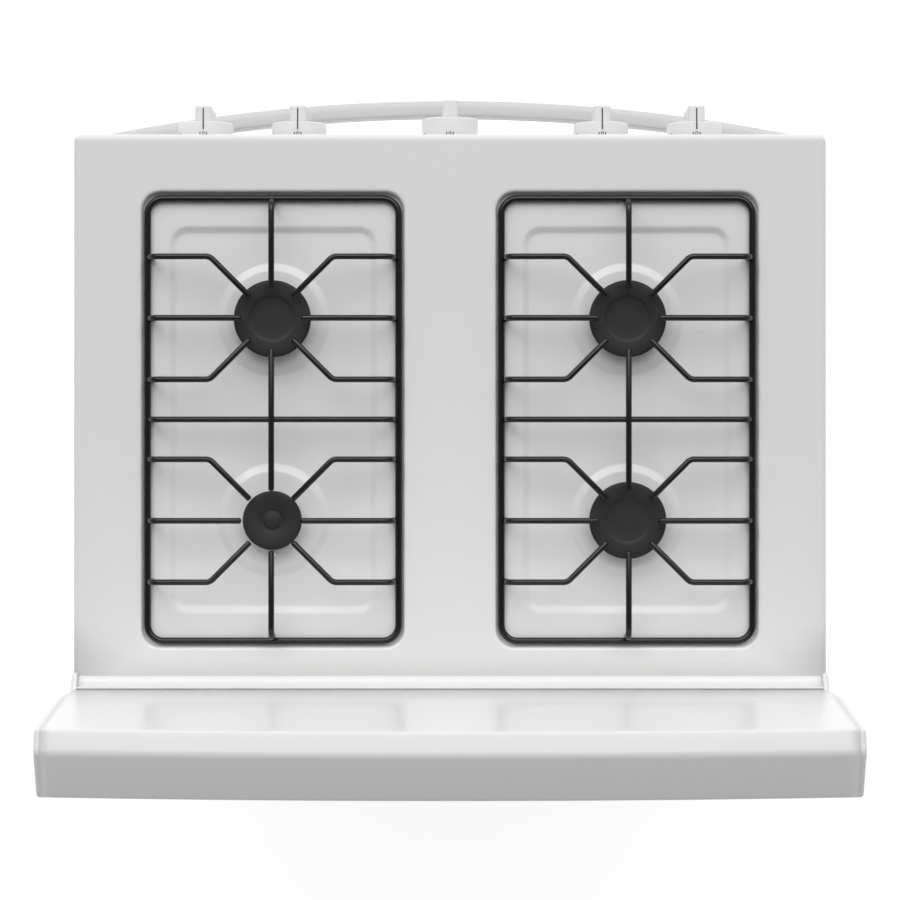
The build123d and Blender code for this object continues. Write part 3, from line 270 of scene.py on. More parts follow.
def spangled_zinc(name, colour):
    """Galvanised sheet: crystal spangles that differ in tone and gloss."""
    material, shader, node = new_material(name)
    place = node("ShaderNodeTexCoord").outputs["Object"]
    bent = node("ShaderNodeTexNoise", {"Vector": place, "Scale": 40.0})
    cells = node("ShaderNodeTexVoronoi", {"Vector": place, "Scale": 75.0})
    tone = node("ShaderNodeSeparateColor", {"Color": cells.outputs["Color"]})
    ramp = node("ShaderNodeValToRGB", {"Fac": tone.outputs["Red"]})
    ramp.color_ramp.elements[0].color = tint(colour, 0.86)
    ramp.color_ramp.elements[1].color = tint(colour, 1.08)
    gloss = node("ShaderNodeMapRange", {"Value": tone.outputs["Green"], "To Min": 0.3, "To Max": 0.5})
    relief = node("ShaderNodeBump", {"Height": bent.outputs["Fac"], "Strength": 0.05, "Distance": 0.0005})
    connect(material, ramp, relief, gloss)
    shader.inputs["Metallic"].default_value = 0.9
    return material


def brushed_metal(name, colour, stretch, rough=0.32):
    """Metal drawn or brushed along one axis."""
    material, shader, node = new_material(name)
    place = node("ShaderNodeTexCoord").outputs["Object"]
    drawn = node("ShaderNodeMapping", {"Vector": place, "Scale": stretch})
    lines = node("ShaderNodeTexNoise", {"Vector": drawn.outputs["Vector"], "Scale": 90.0, "Detail": 6.0})
    ramp = two_tones(node, lines, tint(colour, 0.86), tint(colour, 1.08))
    gloss = node(
        "ShaderNodeMapRange",
        {"Value": lines.outputs["Fac"], "To Min": rough - 0.07, "To Max": rough + 0.1},
    )
    relief = node("ShaderNodeBump", {"Height": lines.outputs["Fac"], "Strength": 0.06, "Distance": 0.0003})
    connect(material, ramp, relief, gloss)
    shader.inputs["Metallic"].default_value = 1.0
    return material


def woven(name, colour, scale):
    """Glass-fibre braid or wool: crossed strands with deep relief."""
    material, shader, node = new_material(name)
    place = node("ShaderNodeTexCoord").outputs["Object"]
    strands = node("ShaderNodeTexWave", {"Vector": place, "Scale": scale, "Distortion": 6.0, "Detail": 3.0})
    fluff = node("ShaderNodeTexNoise", {"Vector": place, "Scale": scale * 2.2, "Detail": 6.0})
    ramp = two_tones(node, fluff, tint(colour, 0.7), tint(colour, 1.15))
    relief = node("ShaderNodeBump", {"Height": strands.outputs["Fac"], "Strength": 0.5, "Distance": 0.001})
    connect(material, ramp, relief)
    shader.inputs["Roughness"].default_value = 0.95
    return material


WHITE = (0.845, 0.845, 0.84)
PLASTIC = {"rough": 0.36, "grain": 1400.0, "bump": 0.06, "vary": 0.01}
RECIPES = {
    "white_enamel": (white_enamel, {"colour": WHITE}),
    "painted_frame": (finish_material, {"colour": (0.78, 0.78, 0.77), "rough": 0.4}),
    "galvanised_steel": (spangled_zinc, {"colour": (0.60, 0.61, 0.62)}),
    "oven_enamel": (speckled_enamel, {"colour": (0.030, 0.033, 0.045), "fleck": (0.30, 0.31, 0.34)}),
    "insulation_wool": (woven, {"colour": (0.72, 0.64, 0.42), "scale": 180.0}),
    "gasket_braid": (woven, {"colour": (0.22, 0.22, 0.21), "scale": 420.0}),
    "chrome_wire": (
        brushed_metal,
        {"colour": (0.78, 0.78, 0.79), "stretch": (1.0, 1.0, 1.0), "rough": 0.14},
    ),
    "hinge_steel": (brushed_metal, {"colour": (0.56, 0.56, 0.57), "stretch": (8.0, 1.0, 8.0)}),
    "valve_brass": (brushed_metal, {"colour": (0.72, 0.53, 0.24), "stretch": (1.0, 8.0, 8.0)}),
    "black_rubber": (
        finish_material,
        {"colour": (0.022, 0.022, 0.022), "rough": 0.75, "grain": 900.0, "bump": 0.25, "vary": 0.15},
    ),
    "cast_aluminium": (
        finish_material,
        {"colour": (0.66, 0.66, 0.67), "rough": 0.42, "metallic": 1.0, "grain": 1100.0, "bump": 0.22},
    ),
    "zinc_casting": (
        finish_material,
        {"colour": (0.52, 0.52, 0.53), "rough": 0.45, "metallic": 1.0, "grain": 700.0, "bump": 0.15},
    ),
    "black_pipe": (
        finish_material,
        {"colour": (0.03, 0.03, 0.031), "rough": 0.55, "grain": 500.0, "bump": 0.2, "vary": 0.2},
    ),
    "electrode_ceramic": (finish_material, {"colour": (0.82, 0.79, 0.72), "rough": 0.35, "grain": 800.0}),
    "cap_enamel": (
        finish_material,
        {
            "colour": (0.024, 0.024, 0.025),
            "rough": 0.5,
            "grain": 900.0,
            "bump": 0.10,
            "vary": 0.10,
            "Specular_IOR_Level": 0.3,
        },
    ),
    "grate_enamel": (
        finish_material,
        {"colour": (0.008, 0.008, 0.009), "rough": 0.14, "grain": 260.0, "bump": 0.08, "vary": 0.2},
    ),
    "white_plastic": (finish_material, {"colour": (0.83, 0.83, 0.825), **PLASTIC}),
    "window_glass": (
        finish_material,
        {"colour": (0.012, 0.013, 0.015), "rough": 0.06, "grain": 40.0, "bump": 0.01, "vary": 0.2},
    ),
}
MATERIALS = {name: maker(name, **values) for name, (maker, values) in RECIPES.items()}
MARK_INK = finish_material("mark_ink", (0.05, 0.05, 0.05), 0.5, grain=1500.0, vary=0.1)
# The handle is the knobs' white plastic made darker (0.63 against 0.83): the lower value is painted shade
# on the bar, not a different plastic.
SHADED_HANDLE_PLASTIC = finish_material("handle_plastic_painted_shade", (0.63, 0.63, 0.625), **PLASTIC)


def dress_frame():
    """Give every CAD node the material of its slot."""
    for entry in frame["record"]["subparts"]:
        thing = frame["nodes"][entry["node"]]
        material = MATERIALS[entry["material_slot"]]
        thing.data.materials.clear()
        thing.data.materials.append(material)


# ---- Mesh tools ----
def make_piece(name, mesh_builder, body, slot, replaced=(), material=None):
    """Turn a filled bmesh into an object on its body, with its slot's material."""
    mesh = bpy.data.meshes.new(name)
    bmesh.ops.recalc_face_normals(mesh_builder, faces=mesh_builder.faces)
    mesh_builder.to_mesh(mesh)
    mesh_builder.free()
    mesh.shade_smooth()
    mesh.materials.append(material or MATERIALS[slot])
    piece = bpy.data.objects.new(name, mesh)
    bpy.context.scene.collection.objects.link(piece)
    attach(piece, body)
    if replaced:
        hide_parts(*replaced)
    return piece


def bridge(bm, first, second, closed=True):
    """Quads between two rows of vertices of the same length."""
    count = len(first)
    last = count if closed else count - 1
    for index in range(last):
        after = (index + 1) % count
        bm.faces.new((first[index], first[after], second[after], second[index]))


def loft(bm, rows, closed=True, capped=False):
    """A skin through rows of vertices, with its first and last row filled if it is capped."""
    for first, second in zip(rows, rows[1:]):
        bridge(bm, first, second, closed)
    if capped:
        bm.faces.new(rows[0])
        bm.faces.new(rows[-1])


def thicken(piece, thickness, offset):
    """Give a sheet its thickness, inwards with an offset of -1 or to both sides with 0."""
    sheet = piece.modifiers.new("sheet", "SOLIDIFY")
    sheet.thickness = thickness
    sheet.offset = offset


def arc(centre, radius, start, end, steps):
    """Points on a circle between two angles in degrees."""
    angles = [radians(start + (end - start) * step / steps) for step in range(steps + 1)]
    return [(centre[0] + radius * cos(angle), centre[1] + radius * sin(angle)) for angle in angles]


def lathe(bm, profile, place, segments=96):
    """Turn (radius, height) points about an axis. place(radius, angle, height) gives each vertex."""
    rows = []
    for radius, height in profile:
        if radius < 1e-6:
            rows.append([bm.verts.new(place(0.0, 0.0, height))])
            continue
        angles = [2 * pi * index / segments for index in range(segments)]
        rows.append([bm.verts.new(place(radius, angle, height)) for angle in angles])
    for first, second in zip(rows, rows[1:]):
        if len(first) == 1 or len(second) == 1:
            tip, ring = (first[0], second) if len(first) == 1 else (second[0], first)
            for index in range(segments):
                bm.faces.new((tip, ring[index], ring[(index + 1) % segments]))
        else:
            bridge(bm, first, second)


def bent_path(points, bend, steps=8):
    """Straight runs joined by arcs of one radius."""
    points = [Vector(point) for point in points]
    path = [points[0]]
    for before, corner, after in zip(points, points[1:], points[2:]):
        come, leave = (before - corner).normalized(), (after - corner).normalized()
        half = come.angle(leave) / 2
        reach = bend / tan(half)
        middle = corner + (come + leave).normalized() * (bend / sin(half))
        start, end = corner + come * reach - middle, corner + leave * reach - middle
        turn = start.angle(end)
        for step in range(steps + 1):
            part = step / steps
            spoke = start * (sin((1 - part) * turn) / sin(turn)) + end * (sin(part * turn) / sin(turn))
            path.append(middle + spoke)
    path.append(points[-1])
    return path


DOME_LENGTH = 0.55  # of the bar's radius


def dome(centre, ahead, side, radius, way):
    """Shrinking rings beyond one end of a bar, each as its centre, direction, side and radius."""
    rings = []
    for angle in (radians(25), radians(50), radians(75)):
        reach = way * DOME_LENGTH * radius * sin(angle)
        rings.append((centre + ahead * reach, ahead, side, radius * cos(angle)))
    return rings


def tube(bm, path, radius, segments=16, closed=False):
    """Round bar along a path, with domed ends where it isn't closed."""
    count = len(path)
    frames = []
    normal = None
    for index in range(count):
        if closed:
            ahead = (path[(index + 1) % count] - path[index - 1]).normalized()
        else:
            low, high = max(0, index - 1), min(count - 1, index + 1)
            ahead = (path[high] - path[low]).normalized()
        if normal is None:
            normal = ahead.orthogonal().normalized()
        normal = (normal - ahead * normal.dot(ahead)).normalized()
        frames.append((path[index], ahead, normal, radius))
    if not closed:
        frames = dome(*frames[0], -1)[::-1] + frames + dome(*frames[-1], 1)
    rings = []
    for centre, ahead, side, wide in frames:
        up = ahead.cross(side)
        angles = [2 * pi * index / segments for index in range(segments)]
        rings.append([bm.verts.new(centre + (side * cos(a) + up * sin(a)) * wide) for a in angles])
    loft(bm, rings, capped=not closed)
    if closed:
        bridge(bm, rings[-1], rings[0])


def rounded_outline(centre, half_x, half_y, radius, steps=10):
    """Points round a rectangle with rounded corners, counter-clockwise."""
    points = []
    for corner, (side_x, side_y) in enumerate(((1, 1), (-1, 1), (-1, -1), (1, -1))):
        middle = (centre[0] + side_x * (half_x - radius), centre[1] + side_y * (half_y - radius))
        points += arc(middle, radius, 90 * corner, 90 * corner + 90, steps)
    return points


def fill_between(bm, *loops):
    """Fill the flat region inside the first loop and outside the others."""
    edges = []
    for loop in loops:
        for first, second in zip(loop, loop[1:] + loop[:1]):
            edges.append(bm.edges.get((first, second)) or bm.edges.new((first, second)))
    bmesh.ops.triangle_fill(bm, use_beauty=True, use_dissolve=False, edges=edges)


# ---- Cooktop ----
RECESS_HALF = (0.135, 0.2325)
RECESS_CORNER = 0.022
RECESS_DROP = 0.009
RECESS_RUN = 0.0065
RECESS_BEND = 0.003
PAN_HALF = (0.1065, 0.197)
PAN_CORNER = 0.020
PAN_DROP = 0.004
PAN_RUN = 0.010
PAN_BEND = 0.008
BOSS_FOOT_R = 0.058
BOSS_TOP_R = 0.048
BOSS_BEND = 0.006
BOSS_FLAT_R = 0.030
BOSS_SEGMENTS = 72
HOLE_R = 0.0225
HOLE_DEPTH = 0.003
STEP_MARGIN = 0.004  # the flat strip kept on each side of a pressed step
EDGE_R = 0.0055
CORNER_R = 0.008  # of the cooktop's front corners, in plan
COVE_R = 0.010
LIP_SHEET = 0.0015
LIP_FOOT = 0.0008  # depth of the lip's foot under the cooktop's surface
SHEET = 0.0012
SKIRT_Z = 0.886
SIDE_STEPS = 8


def step_profile(run, drop, radius, steps=5):
    """A pressed step as (inset, fall) points: flat, round shoulder, steep wall, round foot, flat."""
    lean = atan2(drop, run) if run > drop else radians(72)
    turns = [lean * step / steps for step in range(steps + 1)]
    shoulder = [(radius * sin(turn), radius * (1 - cos(turn))) for turn in turns]
    foot = [(run - inset, drop - fall) for inset, fall in reversed(shoulder)]
    return [(-STEP_MARGIN, 0.0)] + shoulder + foot + [(run + STEP_MARGIN, drop)]


def pressed_loops(bm, centre, half, corner, run, drop, radius, top_z):
    """The loops of a pressed recess, from the flat above it to the flat inside it."""
    loops = []
    for inset, fall in step_profile(run, drop, radius):
        outline = rounded_outline(centre, half[0] - inset, half[1] - inset, max(0.002, corner - inset))
        loops.append([bm.verts.new((x, y, top_z - fall)) for x, y in outline])
    loft(bm, loops)
    return loops[0], loops[-1]


def pressed_boss(bm, centre, floor_z):
    """A round boss pressed up from the pan floor, with its burner hole. Returns its foot loop."""
    step = step_profile(BOSS_FOOT_R - BOSS_TOP_R, PAN_DROP, BOSS_BEND)
    top_z = floor_z + PAN_DROP
    profile = [(BOSS_FOOT_R - inset, floor_z + rise) for inset, rise in step]
    profile += [(BOSS_FLAT_R, top_z), (HOLE_R, top_z), (HOLE_R, top_z - HOLE_DEPTH)]
    angles = [2 * pi * index / BOSS_SEGMENTS for index in range(BOSS_SEGMENTS)]
    x, y = centre
    rings = []
    for radius, height in profile:
        rings.append([bm.verts.new((x + radius * cos(a), y + radius * sin(a), height)) for a in angles])
    loft(bm, rings)
    return rings[0]


def add_cove():
    """The lip that curves up from the cooktop to the backguard, between the two end caps."""
    face_y, back_y = COOK_HIGH[1] - LIP_SHEET, COOK_HIGH[1]
    foot, top = COOKTOP_Z - LIP_FOOT, COOK_HIGH[2]
    section = arc((face_y - COVE_R, COOKTOP_Z + COVE_R), COVE_R, -90, 0, 10)
    section += arc((face_y + LIP_SHEET / 2, top - LIP_SHEET / 2), LIP_SHEET / 2, 180, 0, 6)
    section += [(back_y, foot), (face_y - COVE_R, foot)]
    bm = bmesh.new()
    ends = [[bm.verts.new((x, y, z)) for y, z in section] for x in (SKIN_LOW[0], SKIN_HIGH[0])]
    loft(bm, ends, capped=True)
    piece = make_piece("cooktop_lip", bm, "root", "white_enamel", ["cooktop"])
    piece.data.set_sharp_from_angle(angle=radians(50))
    return piece


def add_cooktop():
    """The pressed cooktop: rounded front and side edges, two stepped recesses and four bosses."""
    bm = bmesh.new()
    half_x, front_y, rear_y = COOK_HIGH[0], COOK_LOW[1], COOK_HIGH[1]
    edge = [(0.0, SKIRT_Z), (0.0, COOKTOP_Z - EDGE_R - STEP_MARGIN)]
    edge += [(EDGE_R - x, COOKTOP_Z - EDGE_R + z) for x, z in arc((0, 0), EDGE_R, 0, 90, 6)]
    edge.append((EDGE_R + STEP_MARGIN, COOKTOP_Z))
    rows = []
    for inset, z in edge:
        radius = max(0.0015, CORNER_R - inset)
        wide, front = half_x - inset, front_y + inset
        side_run = rear_y - front - radius
        row = [(wide, rear_y - side_run * step / SIDE_STEPS) for step in range(SIDE_STEPS)]
        row += arc((wide - radius, front + radius), radius, 0, -90, 6)
        row += arc((-wide + radius, front + radius), radius, -90, -180, 6)
        row += [(-wide, front + radius + side_run * step / SIDE_STEPS) for step in range(1, SIDE_STEPS + 1)]
        rows.append([bm.verts.new((x, y, z)) for x, y in row])
    loft(bm, rows, closed=False)
    recess = (RECESS_HALF, RECESS_CORNER, RECESS_RUN, RECESS_DROP, RECESS_BEND)
    pan = (PAN_HALF, PAN_CORNER, PAN_RUN, PAN_DROP, PAN_BEND)
    ledge_z = COOKTOP_Z - RECESS_DROP
    openings = []
    for x in (-BURNER_X, BURNER_X):
        top, ledge = pressed_loops(bm, (x, GRATE_Y), *recess, COOKTOP_Z)
        pan_top, pan_floor = pressed_loops(bm, (x, GRATE_Y), *pan, ledge_z)
        fill_between(bm, ledge, pan_top)
        places = [place for place in BURNERS.values() if place[0] == x]
        feet = [pressed_boss(bm, place, ledge_z - PAN_DROP) for place in places]
        fill_between(bm, pan_floor, *feet)
        openings.append(top)
    fill_between(bm, rows[-1], *openings)
    piece = make_piece("cooktop_pressing", bm, "root", "white_enamel", ["cooktop"])
    thicken(piece, SHEET, -1.0)
    return piece


# ---- Grates ----
FINGER_R = 0.003
RIM_R = 0.0034
FINGER_Z = COOKTOP_Z + 0.022
CROSS_Z = FINGER_Z - 0.005
RIM_Z = GRATE_LOW[2] + RIM_R
LEG_X = 0.1216
LEG_Y = 0.2181
ELBOW = 0.0614
TIP = 0.0315
BEND = 0.010
RIM_CORNER = 0.016


def add_grate(name, centre_x):
    """A welded wire grate: a rod rim, fingers bent towards both burners, and bars both ways."""
    bm = bmesh.new()

    def wire(points):
        placed = [(centre_x + x, GRATE_Y + y, z) for x, y, z in points]
        tube(bm, bent_path(placed, BEND), FINGER_R)

    half = ((GRATE_HIGH[0] - GRATE_LOW[0]) / 2 - RIM_R, (GRATE_HIGH[1] - GRATE_LOW[1]) / 2 - RIM_R)
    outline = rounded_outline((centre_x, GRATE_Y), *half, RIM_CORNER, steps=9)
    rim = [Vector((x, y, RIM_Z)) for x, y in outline]
    tube(bm, rim, RIM_R, segments=18, closed=True)
    slant = TIP * cos(radians(45))
    for side in (-1, 1):
        leg = side * LEG_X
        for burner in (-BURNER_OFFSET, BURNER_OFFSET):
            wire([(leg, burner, RIM_Z), (leg, burner, FINGER_Z), (side * TIP, burner, FINGER_Z)])
            for turn in (-1, 1):
                y = burner + turn * ELBOW
                elbow, tip = (side * ELBOW, y, FINGER_Z), (side * slant, burner + turn * slant, FINGER_Z)
                wire([(leg, y, RIM_Z), (leg, y, FINGER_Z), elbow, tip])
        end = side * LEG_Y
        wire([(0, end, RIM_Z), (0, end, FINGER_Z), (0, side * (BURNER_OFFSET + TIP), FINGER_Z)])
    inner = BURNER_OFFSET - TIP
    wire([(0, -inner, FINGER_Z), (0, inner, FINGER_Z)])
    wire([(-LEG_X, 0, RIM_Z), (-LEG_X, 0, CROSS_Z), (LEG_X, 0, CROSS_Z), (LEG_X, 0, RIM_Z)])
    return make_piece(f"{name}_wires", bm, name, "grate_enamel", [name])


# ---- Burner caps ----
CAP_PLATE = 0.005
SPIGOT = (0.0143, 0.005)  # radius and length of the boss under a cap
# The edge of a cap's top as (inset from the rim, depth under the top)
CAP_SHOULDER = [(0.0004, 0.0008), (0.0018, 0.0001), (0.0026, 0.0)]
# The middle of a cap's top as (radius, depth under the top), of the large caps and of the small one
CAP_DISH = [
    (0.0243, 0.0),
    (0.0233, 0.0002),
    (0.0212, 0.0013),
    (0.0202, 0.0015),
    (0.010, 0.0015),
    (0.0, 0.0015),
]
CAP_GROOVE = [
    (0.0128, 0.0),
    (0.0122, 0.0003),
    (0.0112, 0.0013),
    (0.0100, 0.0015),
    (0.0084, 0.0013),
    (0.0076, 0.0003),
    (0.0070, 0.0),
    (0.0, 0.0),
]


def add_cap(name):
    """A pressed cap with a rounded rim. Large ones are dished, the small one has a groove and a button."""
    low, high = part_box(f"burner_cap_{name}")
    x, y = BURNERS[name]
    radius = (high[0] - low[0]) / 2
    top, base = high[2], high[2] - CAP_PLATE
    spigot_r, spigot_end = SPIGOT[0], base - SPIGOT[1]
    middle = CAP_GROOVE if name == SMALL_BURNER else CAP_DISH
    profile = [(0.0, spigot_end), (spigot_r, spigot_end), (spigot_r, base), (radius - 0.0016, base)]
    profile += [(radius - 0.0006, base + 0.0004), (radius, base + 0.0014), (radius, top - 0.0016)]
    profile += [(radius - inset, top - depth) for inset, depth in CAP_SHOULDER]
    profile += [(middle_r, top - depth) for middle_r, depth in middle]
    bm = bmesh.new()
    lathe(bm, profile, lambda r, angle, z: (x + r * cos(angle), y + r * sin(angle), z))
    return make_piece(f"cap_pressing_{name}", bm, f"cap_{name}", "cap_enamel", [f"burner_cap_{name}"])


# ---- Knobs ----
BLADE_HALF = 0.0085
BLADE_EDGE_R = 0.0014
BLADE_TAPER = 0.0003
SKIRT_EDGE_R = 0.0018
SKIRT_TAPER = 0.0004
SKIRT_HOLLOW = 0.004  # depth of the hollow behind the knob
OVEN_SKIRT, BURNER_SKIRT = 0.0219, 0.0174
POINTER_LIFT, MARK_LIFT = 0.00012, 0.00008
POINTER_HALF = 0.00065
MARK_HALF = 0.0013
MARK_SEGMENTS = 24
INK_DEPTH = 0.0002


def blade_outline(half_width, radius, steps=8):
    """Outline of the grip as (x, z): straight sides with ends that follow a circle."""
    start = atan2(sqrt(radius**2 - half_width**2), half_width)
    sweep = [start + (pi - 2 * start) * step / steps for step in range(steps + 1)]
    upper = [(radius * cos(angle), radius * sin(angle)) for angle in sweep]
    left = [(-half_width, upper[-1][1] * share) for share in (0.75, 0.5, 0.25, -0.25, -0.5, -0.75)]
    lower = [(-x, -z) for x, z in upper]
    right = [(-x, -z) for x, z in left]
    return upper + left + lower + right


def add_knob(name):
    """A moulded knob: rounded skirt, tall grip, generic marks and, on a burner's knob, a pointer line."""
    low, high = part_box(f"knob_{name}")
    x, z = (low[0] + high[0]) / 2, (low[2] + high[2]) / 2
    radius, back, front = (high[0] - low[0]) / 2, high[1], low[1]
    skirt = back - (OVEN_SKIRT if name == "oven" else BURNER_SKIRT)
    hollow, taper_r = back - SKIRT_HOLLOW, radius - SKIRT_TAPER
    profile = [(0.0, hollow), (radius - 0.003, hollow), (radius - 0.0026, back), (taper_r, back)]
    profile += [(radius, back - 0.0006), (taper_r, skirt + SKIRT_EDGE_R + SKIRT_TAPER)]
    for turn in (0.3, 0.7, 1.1, pi / 2):
        inward, along = SKIRT_EDGE_R * (1 - cos(turn)), SKIRT_EDGE_R * (1 - sin(turn))
        profile.append((taper_r - inward, skirt + along))
    profile += [(radius * 0.6, skirt), (0.0, skirt)]
    bm = bmesh.new()
    lathe(bm, profile, lambda r, angle, y: (x + r * cos(angle), y, z + r * sin(angle)), segments=80)
    grip_r = radius - 0.0009
    grip = [(0.0, skirt + 0.001), (0.0, skirt - 0.0003), (BLADE_TAPER, front + 0.0024)]
    for turn in (0.0, 0.4, 0.8, 1.2, pi / 2):
        inward, along = BLADE_EDGE_R * (1 - cos(turn)), BLADE_EDGE_R * (1 - sin(turn))
        grip.append((BLADE_TAPER + inward, front + along))
    grip.append((0.0035, front))
    rings = []
    for inset, y in grip:
        outline = blade_outline(BLADE_HALF - inset, grip_r - inset)
        rings.append([bm.verts.new((x + across, y, z + up)) for across, up in outline])
    loft(bm, rings, capped=True)
    piece = make_piece(f"knob_moulding_{name}", bm, f"knob_{name}", "white_plastic", [f"knob_{name}"])
    if name != "oven":
        add_strip(f"knob_pointer_{name}", f"knob_{name}", x, pointer_line(z, radius, grip_r, skirt, front))
    add_mark(f"knob_mark_{name}", f"knob_{name}", x, z, radius, back)
    return piece


def pointer_line(z, radius, grip_r, skirt, front):
    """The pointer's route as (y, z): back along the end of the grip and over the skirt."""
    top, rim = z + grip_r + POINTER_LIFT, z + radius + POINTER_LIFT
    points = [(front + 0.0027, top - 0.0003), (skirt - 0.0002, top - 0.0001)]
    points += [(skirt + 0.0006, rim - 0.0006), (skirt + 0.0020, rim - 0.0002), (skirt + 0.0087, rim)]
    return points


def add_strip(name, body, x, route):
    """A thin inked strip that follows a route of (y, z) points."""
    bm = bmesh.new()
    left = [bm.verts.new((x - POINTER_HALF, y, z)) for y, z in route]
    right = [bm.verts.new((x + POINTER_HALF, y, z)) for y, z in route]
    bridge(bm, left, right, closed=False)
    return add_ink(name, bm, body)


def add_ink(name, bm, body):
    """Turn flat faces into a thin layer of ink on a knob."""
    piece = make_piece(name, bm, body, "white_plastic", material=MARK_INK)
    thicken(piece, INK_DEPTH, 0.0)
    return piece


def add_mark(name, body, x, z, radius, back):
    """Generic marks on a skirt's edge: a ring between two bars for off, and a bar a sixth of a turn on."""
    bm = bmesh.new()
    y, ink_r = back - 0.0045, radius + MARK_LIFT

    def on_skirt(across, along):
        angle = across / radius
        return (x + ink_r * sin(angle), y + along, z + ink_r * cos(angle))

    inner, outer = [], []
    for index in range(MARK_SEGMENTS):
        angle = 2 * pi * index / MARK_SEGMENTS
        inner.append(bm.verts.new(on_skirt(0.0009 * cos(angle), 0.0012 * sin(angle))))
        outer.append(bm.verts.new(on_skirt(0.0015 * cos(angle), 0.0019 * sin(angle))))
    bridge(bm, inner, outer)
    for middle, half in ((-0.0034, 0.0005), (0.0034, 0.0005), (radius * pi / 3, 0.0012)):
        near, far = middle - half, middle + half
        bar = [(near, -MARK_HALF), (far, -MARK_HALF), (far, MARK_HALF), (near, MARK_HALF)]
        bm.faces.new([bm.verts.new(on_skirt(across, along)) for across, along in bar])
    return add_ink(name, bm, body)


# ---- Door handle ----
HANDLE_THICK = 0.0174
HANDLE_R = 1.870
HANDLE_END_R = 0.005
HANDLE_STATIONS = 96
HANDLE_FRONT_R, HANDLE_REAR_R = 0.0075, 0.0025


def add_handle():
    """A bowed bar, rounder in front than behind, whose ends flatten into pads on the door."""
    half_x, front_y, pad_y = HANDLE_HIGH[0], HANDLE_LOW[1], HANDLE_HIGH[1]
    middle_z, half_z = (HANDLE_LOW[2] + HANDLE_HIGH[2]) / 2, (HANDLE_HIGH[2] - HANDLE_LOW[2]) / 2
    bm = bmesh.new()
    rows = []
    for step in range(HANDLE_STATIONS + 1):
        x = -half_x * cos(pi * step / HANDLE_STATIONS)
        face = front_y + HANDLE_R - sqrt(HANDLE_R**2 - x**2)
        behind = min(pad_y, front_y + HANDLE_R - sqrt((HANDLE_R - HANDLE_THICK) ** 2 - x**2))
        near = max(0.0, HANDLE_END_R - (half_x - abs(x)))
        squeeze = HANDLE_END_R - sqrt(max(0.0, HANDLE_END_R**2 - near**2))
        section = handle_section(face + squeeze, behind, middle_z, half_z - squeeze)
        rows.append([bm.verts.new((x, y, z)) for y, z in section])
    loft(bm, rows, capped=True)
    # The darker handle plastic paints shade onto the bar.
    return make_piece("handle_bow", bm, "oven_door", "white_plastic", ["door_handle"], SHADED_HANDLE_PLASTIC)


def handle_section(face, behind, middle_z, half_z):
    """The bar's section as (y, z): generous rounding in front, small rounding behind."""
    wide, small = HANDLE_FRONT_R, HANDLE_REAR_R
    top, low = middle_z + half_z, middle_z - half_z
    points = arc((face + wide, top - wide), wide, 180, 90, 7)
    points += arc((behind - small, top - small), small, 90, 0, 3)
    points += arc((behind - small, low + small), small, 0, -90, 3)
    points += arc((face + wide, low + wide), wide, -90, -180, 7)
    return points


# ---- Backguard ----
GUARD_FACE_Y = SKIN_LOW[1]
GUARD_REAR_Y = CAD_BOX[1][1]
ARCH_RISE = 0.025
ARCH_R = (COOK_HIGH[0] ** 2 + ARCH_RISE**2) / (2 * ARCH_RISE)
ARCH_BLEND = 0.1  # height above the cooktop over which the arch grows
GUARD_HEM_Z = 1.130
GUARD_COLUMNS = 72
TOE_HEIGHT = 0.020
TOE_SLOPE = 0.008
CAP_GAP_Y, CAP_GAP_Z = 0.0003, 0.0004  # between an end cap and the cooktop
CAP_EDGE_R = 0.0035
# The bends of the backguard's outline at its ends: y, z and radius
GUARD_CORNERS = [
    (GUARD_FACE_Y, 1.030, 0.40),
    (0.2812, 1.155, 0.004),
    (0.3025, 1.1605, 0.012),
    (GUARD_REAR_Y, 1.142, 0.004),
]


def guard_profile():
    """The backguard's outline as (y, z) at its ends, with every bend rounded."""
    bends = [bend for y, z, bend in GUARD_CORNERS]
    points = [(GUARD_FACE_Y, SKIN_LOW[2])]
    points += [(y, z) for y, z, bend in GUARD_CORNERS]
    points.append((GUARD_REAR_Y, GUARD_HEM_Z))
    profile = [Vector(points[0])]
    for before, corner, after, bend in zip(points, points[1:], points[2:], bends):
        profile += bent_path([(*before, 0), (*corner, 0), (*after, 0)], bend)[1:-1]
    profile.append(Vector(points[-1]))
    return [(point[0], point[1]) for point in profile]


def arched(x, z):
    """Height at x of a line that is z high at the ends. Its foot stays level and the rest is arched."""
    share = min(1.0, max(0.0, (z - COOKTOP_Z) / ARCH_BLEND))
    return z + share * (ARCH_RISE - ARCH_R + sqrt(ARCH_R**2 - x**2))


def add_backguard():
    """The bent and arched backguard sheet between its two end caps."""
    bm = bmesh.new()
    width = SKIN_HIGH[0] - SKIN_LOW[0]
    places = [SKIN_LOW[0] + width * step / GUARD_COLUMNS for step in range(GUARD_COLUMNS + 1)]
    rows = [[bm.verts.new((x, y, arched(x, z))) for x in places] for y, z in guard_profile()]
    loft(bm, rows, closed=False)
    piece = make_piece("backguard_sheet", bm, "root", "white_enamel", ["backguard_skin"])
    thicken(piece, SHEET, -1.0)
    return piece


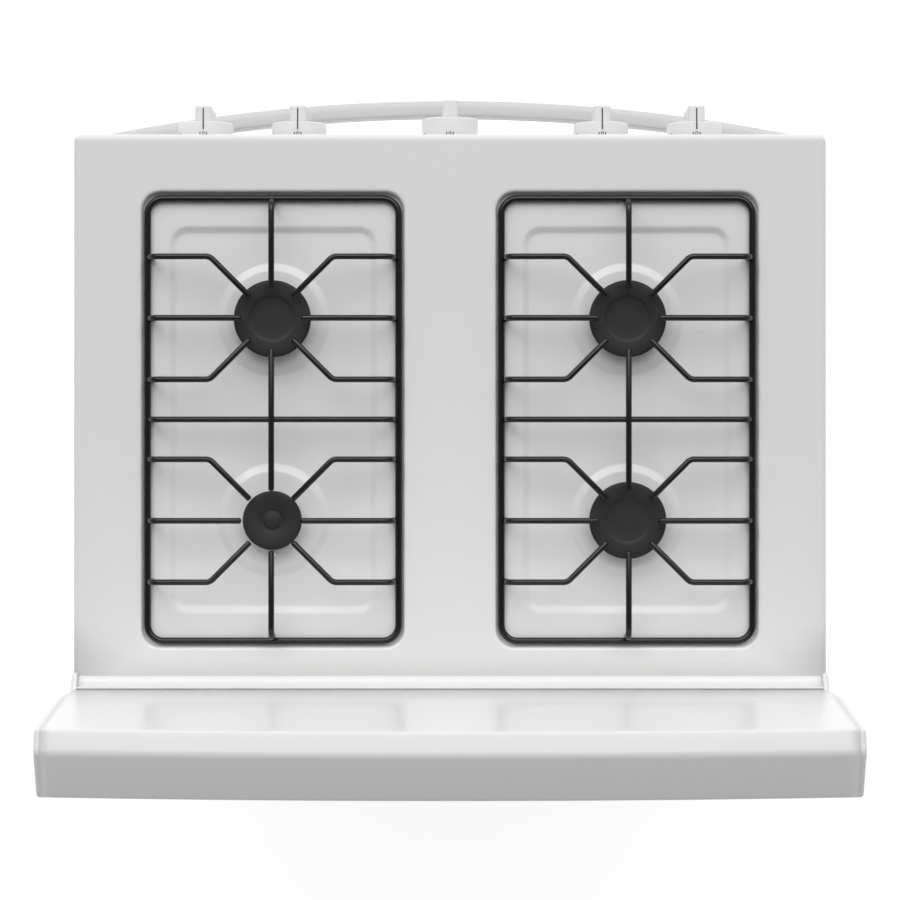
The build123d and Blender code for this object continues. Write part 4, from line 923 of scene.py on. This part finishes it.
def add_end_cap(side, name):
    """A moulded end cap: the backguard's outline with a toe at its foot, rounded along its outer edge."""
    low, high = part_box(name)
    toe_y, toe_top, foot_z = low[1], COOKTOP_Z + TOE_HEIGHT, low[2]
    foot_y, rest_z = COOK_HIGH[1] + CAP_GAP_Y, COOKTOP_Z + CAP_GAP_Z
    corners = [(foot_y, foot_z), (foot_y, rest_z), (toe_y, rest_z)]
    corners += [(toe_y, toe_top - TOE_SLOPE), (GUARD_FACE_Y, toe_top)]
    corners += guard_profile()[1:-1]
    corners.append((GUARD_REAR_Y, foot_z))
    bm = bmesh.new()
    inner, outer = (low[0], high[0]) if side > 0 else (high[0], low[0])
    face = bm.faces.new([bm.verts.new((inner, y, z)) for y, z in corners])
    grown = bmesh.ops.extrude_face_region(bm, geom=[face])
    moved = [item for item in grown["geom"] if isinstance(item, bmesh.types.BMVert)]
    bmesh.ops.translate(bm, verts=moved, vec=(outer - inner, 0, 0))
    outside = [edge for edge in bm.edges if all(abs(vert.co.x - outer) < 1e-6 for vert in edge.verts)]
    bmesh.ops.bevel(
        bm, geom=outside, offset=CAP_EDGE_R, offset_type="OFFSET", segments=5, profile=0.5, affect="EDGES"
    )
    piece = make_piece(f"{name}_moulding", bm, "root", "white_plastic", [name])
    piece.data.set_sharp_from_angle(angle=radians(30))
    piece.modifiers.new("flats", "WEIGHTED_NORMAL").keep_sharp = True
    return piece


# ---- Floor ----
FLOOR_SIZE = 30.0
FLOOR_GLOW = 0.88


def add_floor():
    """A plain pale floor."""
    bm = bmesh.new()
    bmesh.ops.create_grid(bm, x_segments=1, y_segments=1, size=FLOOR_SIZE)
    mesh = bpy.data.meshes.new("floor")
    bm.to_mesh(mesh)
    bm.free()
    material = finish_material("floor_paper", (0.30, 0.30, 0.30), 0.9, grain=80.0, bump=0.01, vary=0.002)
    shader = material.node_tree.nodes["Principled BSDF"]
    shader.inputs["Emission Color"].default_value = (1.0, 1.0, 1.0, 1.0)
    shader.inputs["Emission Strength"].default_value = FLOOR_GLOW
    mesh.materials.append(material)
    floor = bpy.data.objects.new("floor", mesh)
    bpy.context.scene.collection.objects.link(floor)


# ---- The whole scene ----
add_camera()
add_studio()
add_floor()
dress_frame()
add_cooktop()
add_cove()
add_grate("grate_left", -BURNER_X)
add_grate("grate_right", BURNER_X)
for burner_name in BURNERS:
    add_cap(burner_name)
for knob_name in ("left_front", "left_rear", "oven", "right_rear", "right_front"):
    add_knob(knob_name)
add_handle()
add_backguard()
add_end_cap(-1, "backguard_cap_left")
add_end_cap(1, "backguard_cap_right")
